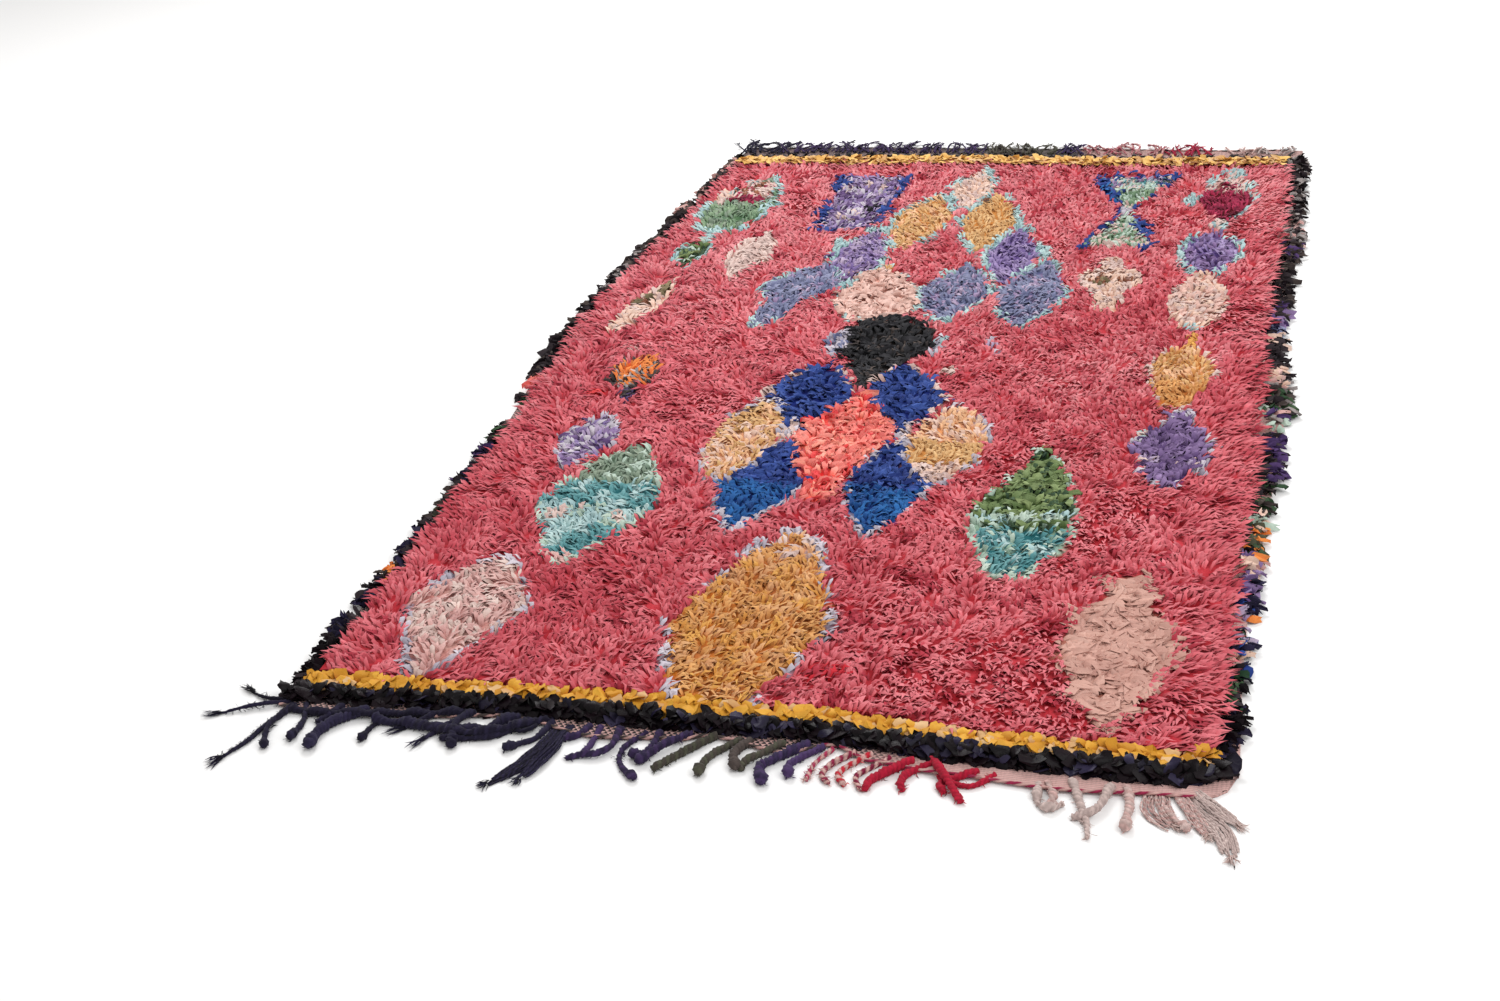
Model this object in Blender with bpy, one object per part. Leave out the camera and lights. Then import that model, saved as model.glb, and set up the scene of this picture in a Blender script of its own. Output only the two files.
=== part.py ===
# A hand-knotted rag rug with a shag pile and knotted fringes, lying flat on a floor.
# Metres, +Z up, +Y along the rug from its near end to its far end, +X to the right.
# The origin is on the floor, under the middle of the rug.

import math
import random
from collections import namedtuple

import bmesh
import bpy
from mathutils import Vector, noise

# Driving dimensions
CLOTH_THICKNESS = 0.004
SEAT_GAP = 0.0003  # between pieces that touch
ROW_GAP = 0.002  # between two neighbouring bands of knots
PILE_FOOT = CLOTH_THICKNESS + SEAT_GAP  # where every band of pile stands on the cloth
FIELD_HEIGHT = 0.025  # top of the pile above the floor, before its lumps
YELLOW_HEIGHT = 0.028
BLACK_HEIGHT = 0.026
SIDE_HEIGHT = 0.023
LUMP_HEIGHT = 0.007  # how far a lump rises over a dip
LUMP_SPACING = 0.085
RIM_DROP = 0.35  # share of its height that a band loses at its two long edges
FIELD_RIM_DROP = 0.15
CORNER_DEPTH = 0.062  # length of the rounded near right corner
CORNER_STEPS = 6

FIELD_CELLS = (24, 44)
END_ROW_CELLS = (46, 2)
SIDE_ROW_CELLS = (50, 2)

SIDE_LOCKS = (0.009, 0.021)  # shortest and longest lock along the sides
END_LOCKS = (0.005, 0.011)  # and along the ends
LOCK_TIP_WIDTH = 0.4  # share of the root's width
LOCK_TIP_DEPTH = 0.3
LOCK_TIP_HEIGHT = (0.007, 0.013)  # lowest and highest lock tip, at its middle
LOCK_DRIFT = 0.35  # how far a tip strays sideways, as a share of its lock's length

HEADER_DEPTH = 0.008  # the twined cord that locks the last weft
HEADER_HEIGHT = 0.007
CORD_WIDTH = 0.011
CORD_HEIGHT = 0.009
KNOT_WIDTH = 0.020
KNOT_HEIGHT = 0.016

# The long edges, from the near end to the far one: where the cloth ends on each side, and where the
# side rows of dark rags meet the rose field.
SideEdge = namedtuple("SideEdge", "y left_outer left_inner right_inner right_outer")
SIDE_EDGES = (
    SideEdge(-1.27, -0.688, -0.662, 0.662, 0.690),
    SideEdge(-0.97, -0.688, -0.664, 0.656, 0.680),
    SideEdge(-0.67, -0.690, -0.666, 0.652, 0.678),
    SideEdge(-0.37, -0.703, -0.674, 0.654, 0.700),
    SideEdge(-0.17, -0.723, -0.690, 0.654, 0.704),
    SideEdge(0.13, -0.745, -0.710, 0.643, 0.678),
    SideEdge(0.43, -0.736, -0.702, 0.648, 0.683),
    SideEdge(0.73, -0.716, -0.682, 0.656, 0.698),
    SideEdge(1.03, -0.696, -0.668, 0.656, 0.692),
    SideEdge(1.23, -0.686, -0.664, 0.653, 0.688),
)

# The two ends, from left to right: the edge of the flat-woven end, the outer and inner edges of the
# black row, and the inner edge of the yellow row, where the field starts.
EndEdge = namedtuple("EndEdge", "x cloth black yellow field")
NEAR_END = (
    EndEdge(-0.70, -1.305, -1.290, -1.262, -1.238),
    EndEdge(-0.50, -1.312, -1.291, -1.262, -1.236),
    EndEdge(-0.28, -1.300, -1.280, -1.252, -1.226),
    EndEdge(-0.08, -1.315, -1.286, -1.258, -1.232),
    EndEdge(0.12, -1.312, -1.284, -1.258, -1.234),
    EndEdge(0.30, -1.335, -1.306, -1.280, -1.254),
    EndEdge(0.50, -1.352, -1.316, -1.290, -1.262),
    EndEdge(0.70, -1.345, -1.318, -1.292, -1.266),
)
FAR_END = (
    EndEdge(-0.70, 1.312, 1.222, 1.186, 1.150),
    EndEdge(-0.35, 1.318, 1.226, 1.190, 1.152),
    EndEdge(-0.08, 1.312, 1.232, 1.200, 1.162),
    EndEdge(0.20, 1.308, 1.220, 1.184, 1.150),
    EndEdge(0.50, 1.300, 1.224, 1.190, 1.156),
    EndEdge(0.70, 1.310, 1.230, 1.196, 1.160),
)

# Fringe cords by run, from left to right. Lean is the angle away from the rug's length at the root,
# towards the left, and turn is how much that angle changes down to the tip, both in radians. A knot
# of 1 ends the cord in a full knot, and a knot of 0 leaves it frayed.
CordRun = namedtuple("CordRun", "first_x last_x cords length lean turn knot")
NEAR_FRINGE = (
    CordRun(-0.682, -0.682, 1, 0.115, 1.15, 0.15, 0),
    CordRun(-0.660, -0.660, 1, 0.185, 0.55, -0.25, 0),
    CordRun(-0.630, -0.305, 10, 0.078, 0.75, -0.95, 1),
    CordRun(-0.266, -0.244, 2, 0.140, 0.45, 0.0, 0),
    CordRun(-0.212, -0.092, 5, 0.088, 0.50, -0.80, 1),
    CordRun(-0.060, 0.004, 3, 0.082, 0.60, -0.90, 1),
    CordRun(0.036, 0.100, 3, 0.088, 0.75, -1.00, 1),
    CordRun(0.130, 0.350, 8, 0.078, 0.85, -1.10, 1),
    CordRun(0.440, 0.472, 2, 0.062, 0.10, -0.30, 1),
    CordRun(0.505, 0.552, 2, 0.092, 0.0, 0.0, 1),
    CordRun(0.580, 0.606, 2, 0.095, -0.35, 0.0, 0),
    CordRun(0.636, 0.636, 1, 0.130, -0.60, 0.25, 0),
)
FAR_FRINGE = (
    CordRun(-0.668, 0.470, 40, 0.060, 0.15, 0.20, 0.6),
    CordRun(0.530, 0.656, 5, 0.050, -0.10, 0.20, 0.6),
)
CORD_LEAN_JITTER = 0.04
CORD_LENGTH_JITTER = 0.08
CORD_PATH_STEPS = 12
FRINGE_REACH = (-0.690, 0.664)  # where the twined cord starts and ends

# Where a cord's cross-sections stand along it, how much of the knot each one takes, and how far the
# cord has tapered there.
Section = namedtuple("Section", "along knot taper")
NEAR_SECTIONS = (
    Section(0.24, 0.0, 1.0),
    Section(0.48, 0.0, 1.0),
    Section(0.72, 0.0, 1.0),
    Section(0.80, 0.9, 1.0),
    Section(0.93, 1.0, 1.0),
    Section(1.00, 0.0, 0.7),
)
FAR_SECTIONS = (
    Section(0.50, 0.0, 1.0),
    Section(0.78, 1.0, 1.0),
    Section(1.00, 0.0, 0.5),
)


def read_table(table, key, column, at):
    """The column's value at a place between two rows, eased so that the edge has no kinks."""
    before = table[0]
    if at <= getattr(before, key):
        return getattr(before, column)
    for after in table[1:]:
        if at <= getattr(after, key):
            span = getattr(after, key) - getattr(before, key)
            share = (at - getattr(before, key)) / span
            eased = share * share * (3 - 2 * share)
            start = getattr(before, column)
            return start + (getattr(after, column) - start) * eased
        before = after
    return getattr(before, column)


def side_x(column, y):
    return read_table(SIDE_EDGES, "y", column, y)


def near_y(column, x):
    return read_table(NEAR_END, "x", column, x)


def far_y(column, x):
    return read_table(FAR_END, "x", column, x)


def mix(start, end, share):
    return start + (end - start) * share


def lump(x, y):
    """Rise and fall of the tufts' tops, from a smooth and repeatable noise."""
    broad = noise.noise(Vector((x / LUMP_SPACING, y / LUMP_SPACING, 1.7)))
    fine = noise.noise(Vector((x / LUMP_SPACING * 2.3, y / LUMP_SPACING * 2.3, 9.1)))
    return LUMP_HEIGHT * (0.7 * broad + 0.4 * fine)


def rim_profile(across):
    """1 in the middle of a band and less at its two long edges, with across from 0 to 1."""
    return 1 - RIM_DROP * (2 * across - 1) ** 2


def make_material(name, colour, roughness):
    material = bpy.data.materials.new(name)
    material.use_nodes = True
    shader = material.node_tree.nodes["Principled BSDF"]
    shader.inputs["Base Color"].default_value = (*colour, 1.0)
    shader.inputs["Roughness"].default_value = roughness
    shader.inputs["Metallic"].default_value = 0.0
    return material


def make_object(name, mesh_or_curve, material, collection):
    made = bpy.data.objects.new(name, mesh_or_curve)
    made.data.materials.append(material)
    collection.objects.link(made)
    return made


def slab_from_grid(cells, place, top_at):
    """A closed slab on the cloth: a grid laid out by place, raised by top_at, with one face below."""
    shape = bmesh.new()
    bmesh.ops.create_grid(shape, x_segments=cells[0], y_segments=cells[1], size=0.5)
    shares = {v: (v.co.x + 0.5, v.co.y + 0.5) for v in shape.verts}
    for vert, (along, across) in shares.items():
        x, y = place(along, across)
        vert.co = (x, y, PILE_FOOT)
    foot = list(shape.faces)
    order = list(shape.verts)
    raised = bmesh.ops.extrude_face_region(shape, geom=foot, use_keep_orig=True)["geom"]
    tops = [item for item in raised if isinstance(item, bmesh.types.BMVert)]
    by_place = {(round(v.co.x, 6), round(v.co.y, 6)): shares[v] for v in order}
    for vert in tops:
        along, across = by_place[(round(vert.co.x, 6), round(vert.co.y, 6))]
        vert.co.z = top_at(vert.co.x, vert.co.y, along, across)
    bmesh.ops.recalc_face_normals(shape, faces=shape.faces)
    under = [f for f in shape.faces if max(v.co.z for v in f.verts) <= PILE_FOOT + 1e-6]
    bmesh.ops.dissolve_faces(shape, faces=under, use_verts=False)
    return shape


def pull_locks(shape, on_rim, outward, lengths, seed):
    """Draws each wall face on the rim out into a pointed lock of four sides."""
    chance = random.Random(seed)
    rim = [f for f in shape.faces if abs(f.normal.z) < 0.5 and on_rim(f.calc_center_median())]
    roots = bmesh.ops.extrude_discrete_faces(shape, faces=rim)["faces"]
    for root in sorted(roots, key=lambda f: tuple(f.calc_center_median())):
        centre = root.calc_center_median()
        reach = chance.uniform(*lengths)
        drift = chance.uniform(-LOCK_DRIFT, LOCK_DRIFT) * reach
        tip = Vector((centre.x, centre.y, chance.uniform(*LOCK_TIP_HEIGHT)))
        tip += outward * reach + Vector((-outward.y, outward.x, 0.0)) * drift
        for vert in root.verts:
            offset = vert.co - centre
            offset.z *= LOCK_TIP_DEPTH
            vert.co = tip + Vector((offset.x * LOCK_TIP_WIDTH, offset.y * LOCK_TIP_WIDTH, offset.z))


def finish_slab(name, shape, material, collection):
    mesh = bpy.data.meshes.new(name)
    bmesh.ops.triangulate(shape, faces=shape.faces)
    bmesh.ops.recalc_face_normals(shape, faces=shape.faces)
    shape.to_mesh(mesh)
    shape.free()
    return make_object(name, mesh, material, collection)


def build_field(material, collection):
    """The rose field with its lozenges: one lumpy slab of pile."""

    def place(along, across):
        y = mix(NEAR_END[0].field, FAR_END[0].field, across)
        sides = (side_x("left_inner", y) + ROW_GAP, side_x("right_inner", y) - ROW_GAP)
        x = mix(*sides, along)
        return x, mix(near_y("field", x), far_y("field", x), across)

    def top_at(x, y, along, across):
        edge = min(along, 1 - along, across, 1 - across)
        rim = 1 - FIELD_RIM_DROP * max(0.0, 1 - edge * FIELD_CELLS[0])
        return PILE_FOOT + (FIELD_HEIGHT - PILE_FOOT) * rim + lump(x, y)

    shape = slab_from_grid(FIELD_CELLS, place, top_at)
    finish_slab("field_pile", shape, material, collection)


def build_end_row(name, end_y, outer, inner, height, left, right, material, collection, rim=0):
    """One row of knots across an end. Rim is -1 or 1 where its outer edge is drawn into locks."""

    def place(along, across):
        y_guess = end_y(outer, 0.0)
        x = mix(side_x(left, y_guess) + ROW_GAP, side_x(right, y_guess) - ROW_GAP, along)
        towards = math.copysign(ROW_GAP, end_y(inner, x) - end_y(outer, x))
        edges = (end_y(outer, x), end_y(inner, x) - towards)
        return x, mix(min(edges), max(edges), across)

    def top_at(x, y, along, across):
        return PILE_FOOT + (height - PILE_FOOT) * rim_profile(across) + 0.5 * lump(x, y)

    shape = slab_from_grid(END_ROW_CELLS, place, top_at)
    if rim:
        on_rim = lambda centre: abs(centre.y - end_y(outer, centre.x)) < ROW_GAP
        pull_locks(shape, on_rim, Vector((0.0, rim, 0.0)), END_LOCKS, seed=len(name))
    finish_slab(name, shape, material, collection)


def build_side_row(name, outer, inner, rim, material, collection):
    """The row of dark rags along a selvedge, between the two black rows."""

    def place(along, across):
        y_guess = mix(NEAR_END[0].yellow, FAR_END[0].yellow, along)
        x_guess = side_x(outer, y_guess)
        ends = (near_y("yellow", x_guess) + ROW_GAP, far_y("yellow", x_guess) - ROW_GAP)
        y = mix(*ends, along)
        edges = (side_x(outer, y), side_x(inner, y))
        return mix(min(edges), max(edges), across), y

    def top_at(x, y, along, across):
        return PILE_FOOT + (SIDE_HEIGHT - PILE_FOOT) * rim_profile(across) + 0.5 * lump(x, y)

    shape = slab_from_grid(SIDE_ROW_CELLS, place, top_at)
    on_rim = lambda centre: abs(centre.x - side_x(outer, centre.y)) < ROW_GAP
    pull_locks(shape, on_rim, Vector((rim, 0.0, 0.0)), SIDE_LOCKS, seed=len(name))
    finish_slab(name, shape, material, collection)


def cord_roots(runs):
    """(x, run) for every cord of the runs, from left to right."""
    roots = []
    for run in runs:
        for number in range(run.cords):
            share = number / max(run.cords - 1, 1)
            roots.append((mix(run.first_x, run.last_x, share), run))
    return roots


def header_stations(runs):
    """The x of each cell edge along the twined cord: the two sides of every fringe cord, and the ends."""
    sides = [x + half for x, _ in cord_roots(runs) for half in (-CORD_WIDTH / 2, CORD_WIDTH / 2)]
    return [FRINGE_REACH[0], *sides, FRINGE_REACH[1]]


def cord_path(x, y, run, outward, chance):
    """A function from 0 at the root to 1 at the tip, to the place and direction there."""
    length = run.length * (1 + chance.uniform(-CORD_LENGTH_JITTER, CORD_LENGTH_JITTER))
    lean = run.lean + chance.uniform(-CORD_LEAN_JITTER, CORD_LEAN_JITTER)

    def at(share):
        place = Vector((x, y, 0.0))
        stride = length * share / CORD_PATH_STEPS
        for step in range(CORD_PATH_STEPS):
            angle = lean + run.turn * share * (step + 0.5) / CORD_PATH_STEPS
            place += Vector((-math.sin(angle), outward * math.cos(angle), 0.0)) * stride
        angle = lean + run.turn * share
        return place, Vector((-math.sin(angle), outward * math.cos(angle), 0.0))

    return at


def build_fringe(name, end_y, runs, sections, outward, seed, material, collection):
    """The twined cord at an end of the cloth, with the knotted warp cords that leave it.
    Every cord lies on the floor along its whole length."""
    chance = random.Random(seed)
    stations = header_stations(runs)
    cells = len(stations) - 1
    shape = bmesh.new()
    bmesh.ops.create_grid(shape, x_segments=cells, y_segments=1, size=0.5)
    for vert in shape.verts:
        x = stations[round((vert.co.x + 0.5) * cells)]
        inner = end_y("cloth", x) + outward * SEAT_GAP
        outer = inner + outward * HEADER_DEPTH
        y = (min(inner, outer), max(inner, outer))[round(vert.co.y + 0.5)]
        vert.co = (x, y, 0.0)
    raised = bmesh.ops.extrude_face_region(shape, geom=shape.faces[:], use_keep_orig=True)
    for item in raised["geom"]:
        if isinstance(item, bmesh.types.BMVert):
            item.co.z = HEADER_HEIGHT
    bmesh.ops.recalc_face_normals(shape, faces=shape.faces)
    under = [f for f in shape.faces if max(v.co.z for v in f.verts) < 1e-6]
    bmesh.ops.dissolve_faces(shape, faces=under, use_verts=False)
    walls = [f for f in shape.faces if f.normal.y * outward > 0.7]
    places = [f.calc_center_median().x for f in walls]
    for x, run in cord_roots(runs):
        face = walls[min(range(len(walls)), key=lambda number: abs(places[number] - x))]
        y = end_y("cloth", x) + outward * (SEAT_GAP + HEADER_DEPTH)
        path = cord_path(x, y, run, outward, chance)
        sides = [(math.copysign(1, v.co.x - x), v.co.z > HEADER_HEIGHT / 2) for v in face.verts]
        for section in sections:
            face = bmesh.ops.extrude_discrete_faces(shape, faces=[face])["faces"][0]
            centre, heading = path(section.along)
            right = Vector((heading.y, -heading.x, 0.0)) * outward
            swell = section.knot * run.knot
            width = mix(CORD_WIDTH, KNOT_WIDTH, swell) * section.taper
            height = mix(CORD_HEIGHT, KNOT_HEIGHT, swell) * section.taper
            for vert, (side, is_top) in zip(face.verts, sides):
                vert.co = centre + right * (side * width / 2)
                vert.co.z = height if is_top else 0.0
    finish_slab(name, shape, material, collection)


def cloth_outline():
    """The cloth's edge, anticlockwise from its near left corner."""
    outline = [(x, near_y("cloth", x)) for x in header_stations(NEAR_FRINGE)]
    corner_x, corner_y = outline[-1]
    corner_top = corner_y + CORNER_DEPTH
    reach = side_x("right_outer", corner_top) - corner_x
    for step in range(1, CORNER_STEPS + 1):
        angle = step / CORNER_STEPS * math.pi / 2
        x = corner_x + reach * math.sin(angle)
        outline.append((x, corner_top - CORNER_DEPTH * math.cos(angle)))
    rows = [row.y for row in SIDE_EDGES]
    halfway = [mix(a, b, 0.5) for a, b in zip(rows, rows[1:])]
    stations = [y for y in sorted(rows + halfway) if y > corner_top + 0.01]
    outline += [(side_x("right_outer", y), y) for y in stations]
    outline += [(x, far_y("cloth", x)) for x in reversed(header_stations(FAR_FRINGE))]
    outline += [(side_x("left_outer", y), y) for y in reversed(stations)]
    return outline


def build_cloth(material, collection):
    """The woven ground that the knots are tied on, with its flat-woven ends: one flat sheet."""
    curve = bpy.data.curves.new("ground_cloth", "CURVE")
    curve.dimensions = "2D"
    curve.fill_mode = "BOTH"
    curve.extrude = CLOTH_THICKNESS / 2
    spline = curve.splines.new("POLY")
    outline = cloth_outline()
    spline.points.add(len(outline) - 1)
    for point, (x, y) in zip(spline.points, outline):
        point.co = (x, y, 0.0, 1.0)
    spline.use_cyclic_u = True
    cloth = make_object("ground_cloth", curve, material, collection)
    cloth.location.z = CLOTH_THICKNESS / 2


def main():
    for old in list(bpy.data.objects):
        bpy.data.objects.remove(old)
    rug = bpy.data.collections.new("rag_rug")
    bpy.context.scene.collection.children.link(rug)

    ground = make_material("ground_weave", (0.36, 0.22, 0.21), 0.9)
    rose = make_material("rose_rags", (0.50, 0.075, 0.095), 0.85)
    yellow = make_material("yellow_rags", (0.62, 0.30, 0.05), 0.8)
    black = make_material("black_rags", (0.012, 0.010, 0.016), 0.6)
    edge = make_material("edge_rags", (0.035, 0.022, 0.035), 0.7)
    cords = make_material("fringe_cords", (0.045, 0.030, 0.060), 0.9)

    build_cloth(ground, rug)
    build_field(rose, rug)
    for name, end_y, side in (("near", near_y, -1), ("far", far_y, 1)):
        build_end_row(
            name + "_yellow_row", end_y, "yellow", "field", YELLOW_HEIGHT,
            "left_inner", "right_inner", yellow, rug,
        )
        build_end_row(
            name + "_black_row", end_y, "black", "yellow", BLACK_HEIGHT,
            "left_outer", "right_outer", black, rug, rim=side,
        )
    build_side_row("left_side_row", "left_outer", "left_inner", -1, edge, rug)
    build_side_row("right_side_row", "right_outer", "right_inner", 1, edge, rug)
    build_fringe("near_fringe", near_y, NEAR_FRINGE, NEAR_SECTIONS, -1, 3, cords, rug)
    build_fringe("far_fringe", far_y, FAR_FRINGE, FAR_SECTIONS, 1, 5, cords, rug)


main()
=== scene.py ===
# %% [markdown]
# # A rag rug with a deep pile, in cells
#
# The real rug is woven on a home loom. A woollen ground cloth carries thousands of short strips of
# worn-out clothes, each knotted round two warps, and their loose ends are the pile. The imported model
# already has the rug's sizes as plain slabs. This lesson dresses them: it makes the tufts, the wide
# end rows, the ragged sides, the flat-woven ends and the knotted fringes, all in the slabs' places.

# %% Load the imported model
import math
from collections import namedtuple

import bmesh
import bpy
import numpy as np
from mathutils import Matrix, Vector, noise


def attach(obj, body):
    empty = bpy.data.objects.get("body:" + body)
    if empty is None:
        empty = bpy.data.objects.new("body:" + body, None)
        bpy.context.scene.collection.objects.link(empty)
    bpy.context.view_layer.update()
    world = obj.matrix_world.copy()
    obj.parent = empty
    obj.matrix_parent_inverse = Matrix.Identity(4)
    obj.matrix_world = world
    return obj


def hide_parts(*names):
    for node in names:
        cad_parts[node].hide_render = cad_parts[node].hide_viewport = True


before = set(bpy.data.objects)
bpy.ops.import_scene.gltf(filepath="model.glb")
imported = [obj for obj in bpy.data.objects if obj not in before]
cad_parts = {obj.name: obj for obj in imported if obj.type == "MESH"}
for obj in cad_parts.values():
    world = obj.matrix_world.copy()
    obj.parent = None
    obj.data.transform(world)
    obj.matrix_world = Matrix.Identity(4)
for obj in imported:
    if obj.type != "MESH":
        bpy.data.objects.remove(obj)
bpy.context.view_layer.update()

print("solids:", sorted(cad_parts))

# %% [markdown]
# ## Light, floor and camera
#
# A white floor and broad soft lamps give the even light of a picture for a shop. One lamp is stronger
# and stands behind the rug on the left, so that each tuft has a light side and a dark one. A smaller
# lamp would draw hard shadows, which soft cloth in a studio doesn't have.
#
# The camera stands at a person's eye level a little to the right of the rug, with a normal lens. Its
# turn is given as a standing person would feel it: round to the left, down, and a slight tilt.

# %% Light of the room, and the floor
FLOOR_SIZE = 14.0
FLOOR_DROP = 0.0004
ROOM_STRENGTH = 0.72

scene = bpy.context.scene
scene.view_settings.view_transform = "Standard"
scene.view_settings.look = "None"
world = bpy.data.worlds.new("soft_room")
world.use_nodes = True
world.node_tree.nodes["Background"].inputs["Color"].default_value = (1.0, 0.985, 0.97, 1.0)
world.node_tree.nodes["Background"].inputs["Strength"].default_value = ROOM_STRENGTH
scene.world = world

floor_shape = bmesh.new()
bmesh.ops.create_grid(floor_shape, x_segments=1, y_segments=1, size=FLOOR_SIZE / 2)
floor_mesh = bpy.data.meshes.new("floor")
floor_shape.to_mesh(floor_mesh)
floor_shape.free()
floor = bpy.data.objects.new("floor", floor_mesh)
scene.collection.objects.link(floor)
floor.location.z = -FLOOR_DROP
pale = bpy.data.materials.new("pale_floor")
pale.use_nodes = True
pale.node_tree.nodes["Principled BSDF"].inputs["Base Color"].default_value = (0.86, 0.86, 0.86, 1)
pale.node_tree.nodes["Principled BSDF"].inputs["Roughness"].default_value = 0.9
floor_mesh.materials.append(pale)
print("floor", FLOOR_SIZE, "m wide")

# %% Hang the lamps
Lamp = namedtuple("Lamp", "name place size watts")
LAMPS = (
    Lamp("key_lamp", (-1.3, 2.6, 3.6), 2.2, 142),
    Lamp("fill_lamp", (2.7, -1.9, 3.2), 3.0, 88),
)
for lamp in LAMPS:
    light = bpy.data.lights.new(lamp.name, "AREA")
    light.size = lamp.size
    light.energy = lamp.watts
    light_object = bpy.data.objects.new(lamp.name, light)
    light_object.location = lamp.place
    light_object.rotation_euler = (-Vector(lamp.place)).to_track_quat("-Z", "Y").to_euler()
    scene.collection.objects.link(light_object)
print(len(LAMPS), "lamps")

# %% Set up the camera
CAMERA_PLACE = (0.782, -3.579, 1.586)
LENS = 49.38
TURN_LEFT, LOOK_DOWN, TILT = math.radians(17.58), math.radians(26.87), math.radians(-5.28)

camera_data = bpy.data.cameras.new("standing_view")
camera_data.sensor_width = 36.0
camera_data.lens = LENS
camera = bpy.data.objects.new("standing_view", camera_data)
scene.collection.objects.link(camera)
camera.matrix_world = (
    Matrix.Translation(CAMERA_PLACE)
    @ Matrix.Rotation(TURN_LEFT, 4, "Z")
    @ Matrix.Rotation(math.pi / 2 - LOOK_DOWN, 4, "X")
    @ Matrix.Rotation(TILT, 4, "Z")
)
scene.camera = camera
print("camera height", round(camera.location.z, 3), "m")

# %% [markdown]
# ## Edges and heights
#
# The rug was woven by hand, so its sides bulge and its ends wander. These short tables, one for the
# sides and one for each end, hold where every edge lies, close to the solids' own, and each piece below
# reads them. That keeps the tufts on the cloth and the fringe at its end, however the edge runs.

# %% Tables of the rug's edges
SideEdge = namedtuple("SideEdge", "y left_outer left_inner right_inner right_outer")
SIDE_EDGES = (
    SideEdge(-1.27, -0.688, -0.662, 0.662, 0.690),
    SideEdge(-0.97, -0.688, -0.664, 0.656, 0.680),
    SideEdge(-0.67, -0.690, -0.666, 0.652, 0.678),
    SideEdge(-0.37, -0.703, -0.674, 0.654, 0.700),
    SideEdge(-0.17, -0.723, -0.690, 0.654, 0.704),
    SideEdge(0.13, -0.745, -0.710, 0.643, 0.678),
    SideEdge(0.43, -0.736, -0.702, 0.648, 0.683),
    SideEdge(0.73, -0.716, -0.682, 0.656, 0.698),
    SideEdge(1.03, -0.696, -0.668, 0.656, 0.692),
    SideEdge(1.23, -0.686, -0.664, 0.653, 0.688),
)
EndEdge = namedtuple("EndEdge", "x cloth black yellow field")
NEAR_END = (
    EndEdge(-0.70, -1.316, -1.290, -1.262, -1.238),
    EndEdge(-0.60, -1.326, -1.290, -1.262, -1.237),
    EndEdge(-0.47, -1.316, -1.289, -1.260, -1.234),
    EndEdge(-0.33, -1.298, -1.283, -1.255, -1.229),
    EndEdge(-0.19, -1.330, -1.283, -1.255, -1.229),
    EndEdge(-0.07, -1.320, -1.286, -1.258, -1.232),
    EndEdge(-0.03, -1.306, -1.286, -1.258, -1.232),
    EndEdge(0.085, -1.330, -1.284, -1.258, -1.234),
    EndEdge(0.147, -1.304, -1.287, -1.261, -1.236),
    EndEdge(0.21, -1.334, -1.295, -1.269, -1.244),
    EndEdge(0.30, -1.347, -1.306, -1.280, -1.254),
    EndEdge(0.47, -1.362, -1.314, -1.288, -1.261),
    EndEdge(0.60, -1.354, -1.317, -1.291, -1.264),
    EndEdge(0.70, -1.352, -1.318, -1.292, -1.266),
)
FAR_END = (
    EndEdge(-0.70, 1.312, 1.222, 1.186, 1.150),
    EndEdge(-0.35, 1.318, 1.226, 1.190, 1.152),
    EndEdge(-0.08, 1.312, 1.232, 1.200, 1.162),
    EndEdge(0.20, 1.308, 1.220, 1.184, 1.150),
    EndEdge(0.50, 1.300, 1.224, 1.190, 1.156),
    EndEdge(0.70, 1.310, 1.230, 1.196, 1.160),
)
print(len(SIDE_EDGES), "rows for the sides,", len(NEAR_END), "near,", len(FAR_END), "far")


# %% Read an edge at any place
def edge_of(table, column, at):
    """The edge's place at each value of an array, eased between the table's rows."""
    keys = np.array([row[0] for row in table])
    values = np.array([getattr(row, column) for row in table])
    at = np.clip(np.asarray(at, float), keys[0], keys[-1])
    after = np.clip(np.searchsorted(keys, at), 1, len(keys) - 1)
    share = (at - keys[after - 1]) / (keys[after] - keys[after - 1])
    eased = share * share * (3 - 2 * share)
    return values[after - 1] + (values[after] - values[after - 1]) * eased


def side_x(column, y):
    return edge_of(SIDE_EDGES, column, y)


def near_y(column, x):
    return edge_of(NEAR_END, column, x)


def far_y(column, x):
    return edge_of(FAR_END, column, x)


print("pile is", round(float(far_y("black", 0) - near_y("black", 0)), 3), "m long")

# %% Height of the pile
CLOTH_THICKNESS = 0.004
FIELD_HEIGHT = 0.025
LUMP_HEIGHT = 0.007
LUMP_SPACING = 0.085


def waves(x, y, size, seed):
    """Smooth noise of about -0.5 to 0.5 at each place, with lumps of the given size."""
    pairs = zip(np.ravel(x).tolist(), np.ravel(y).tolist())
    made = [noise.noise(Vector((a / size, b / size, seed))) for a, b in pairs]
    return np.array(made).reshape(np.shape(x))


def pile_top(x, y):
    broad = waves(x, y, LUMP_SPACING, 1.7)
    fine = waves(x, y, LUMP_SPACING / 2.3, 9.1)
    return FIELD_HEIGHT + LUMP_HEIGHT * (0.7 * broad + 0.4 * fine)


print("pile is", round(float(pile_top(0.0, 0.0)) * 1000, 1), "mm high in the middle")

# %% [markdown]
# ## Dyes
#
# Each strip was cut from some worn garment, so one colour of the rug is really a handful of shades.
# Every dye below is a pair, a deep shade and a light one, and each tuft takes its own place between
# them. Colours are written as on a screen, from 0 to 255, and turned into the linear values that a
# shader mixes.

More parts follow.
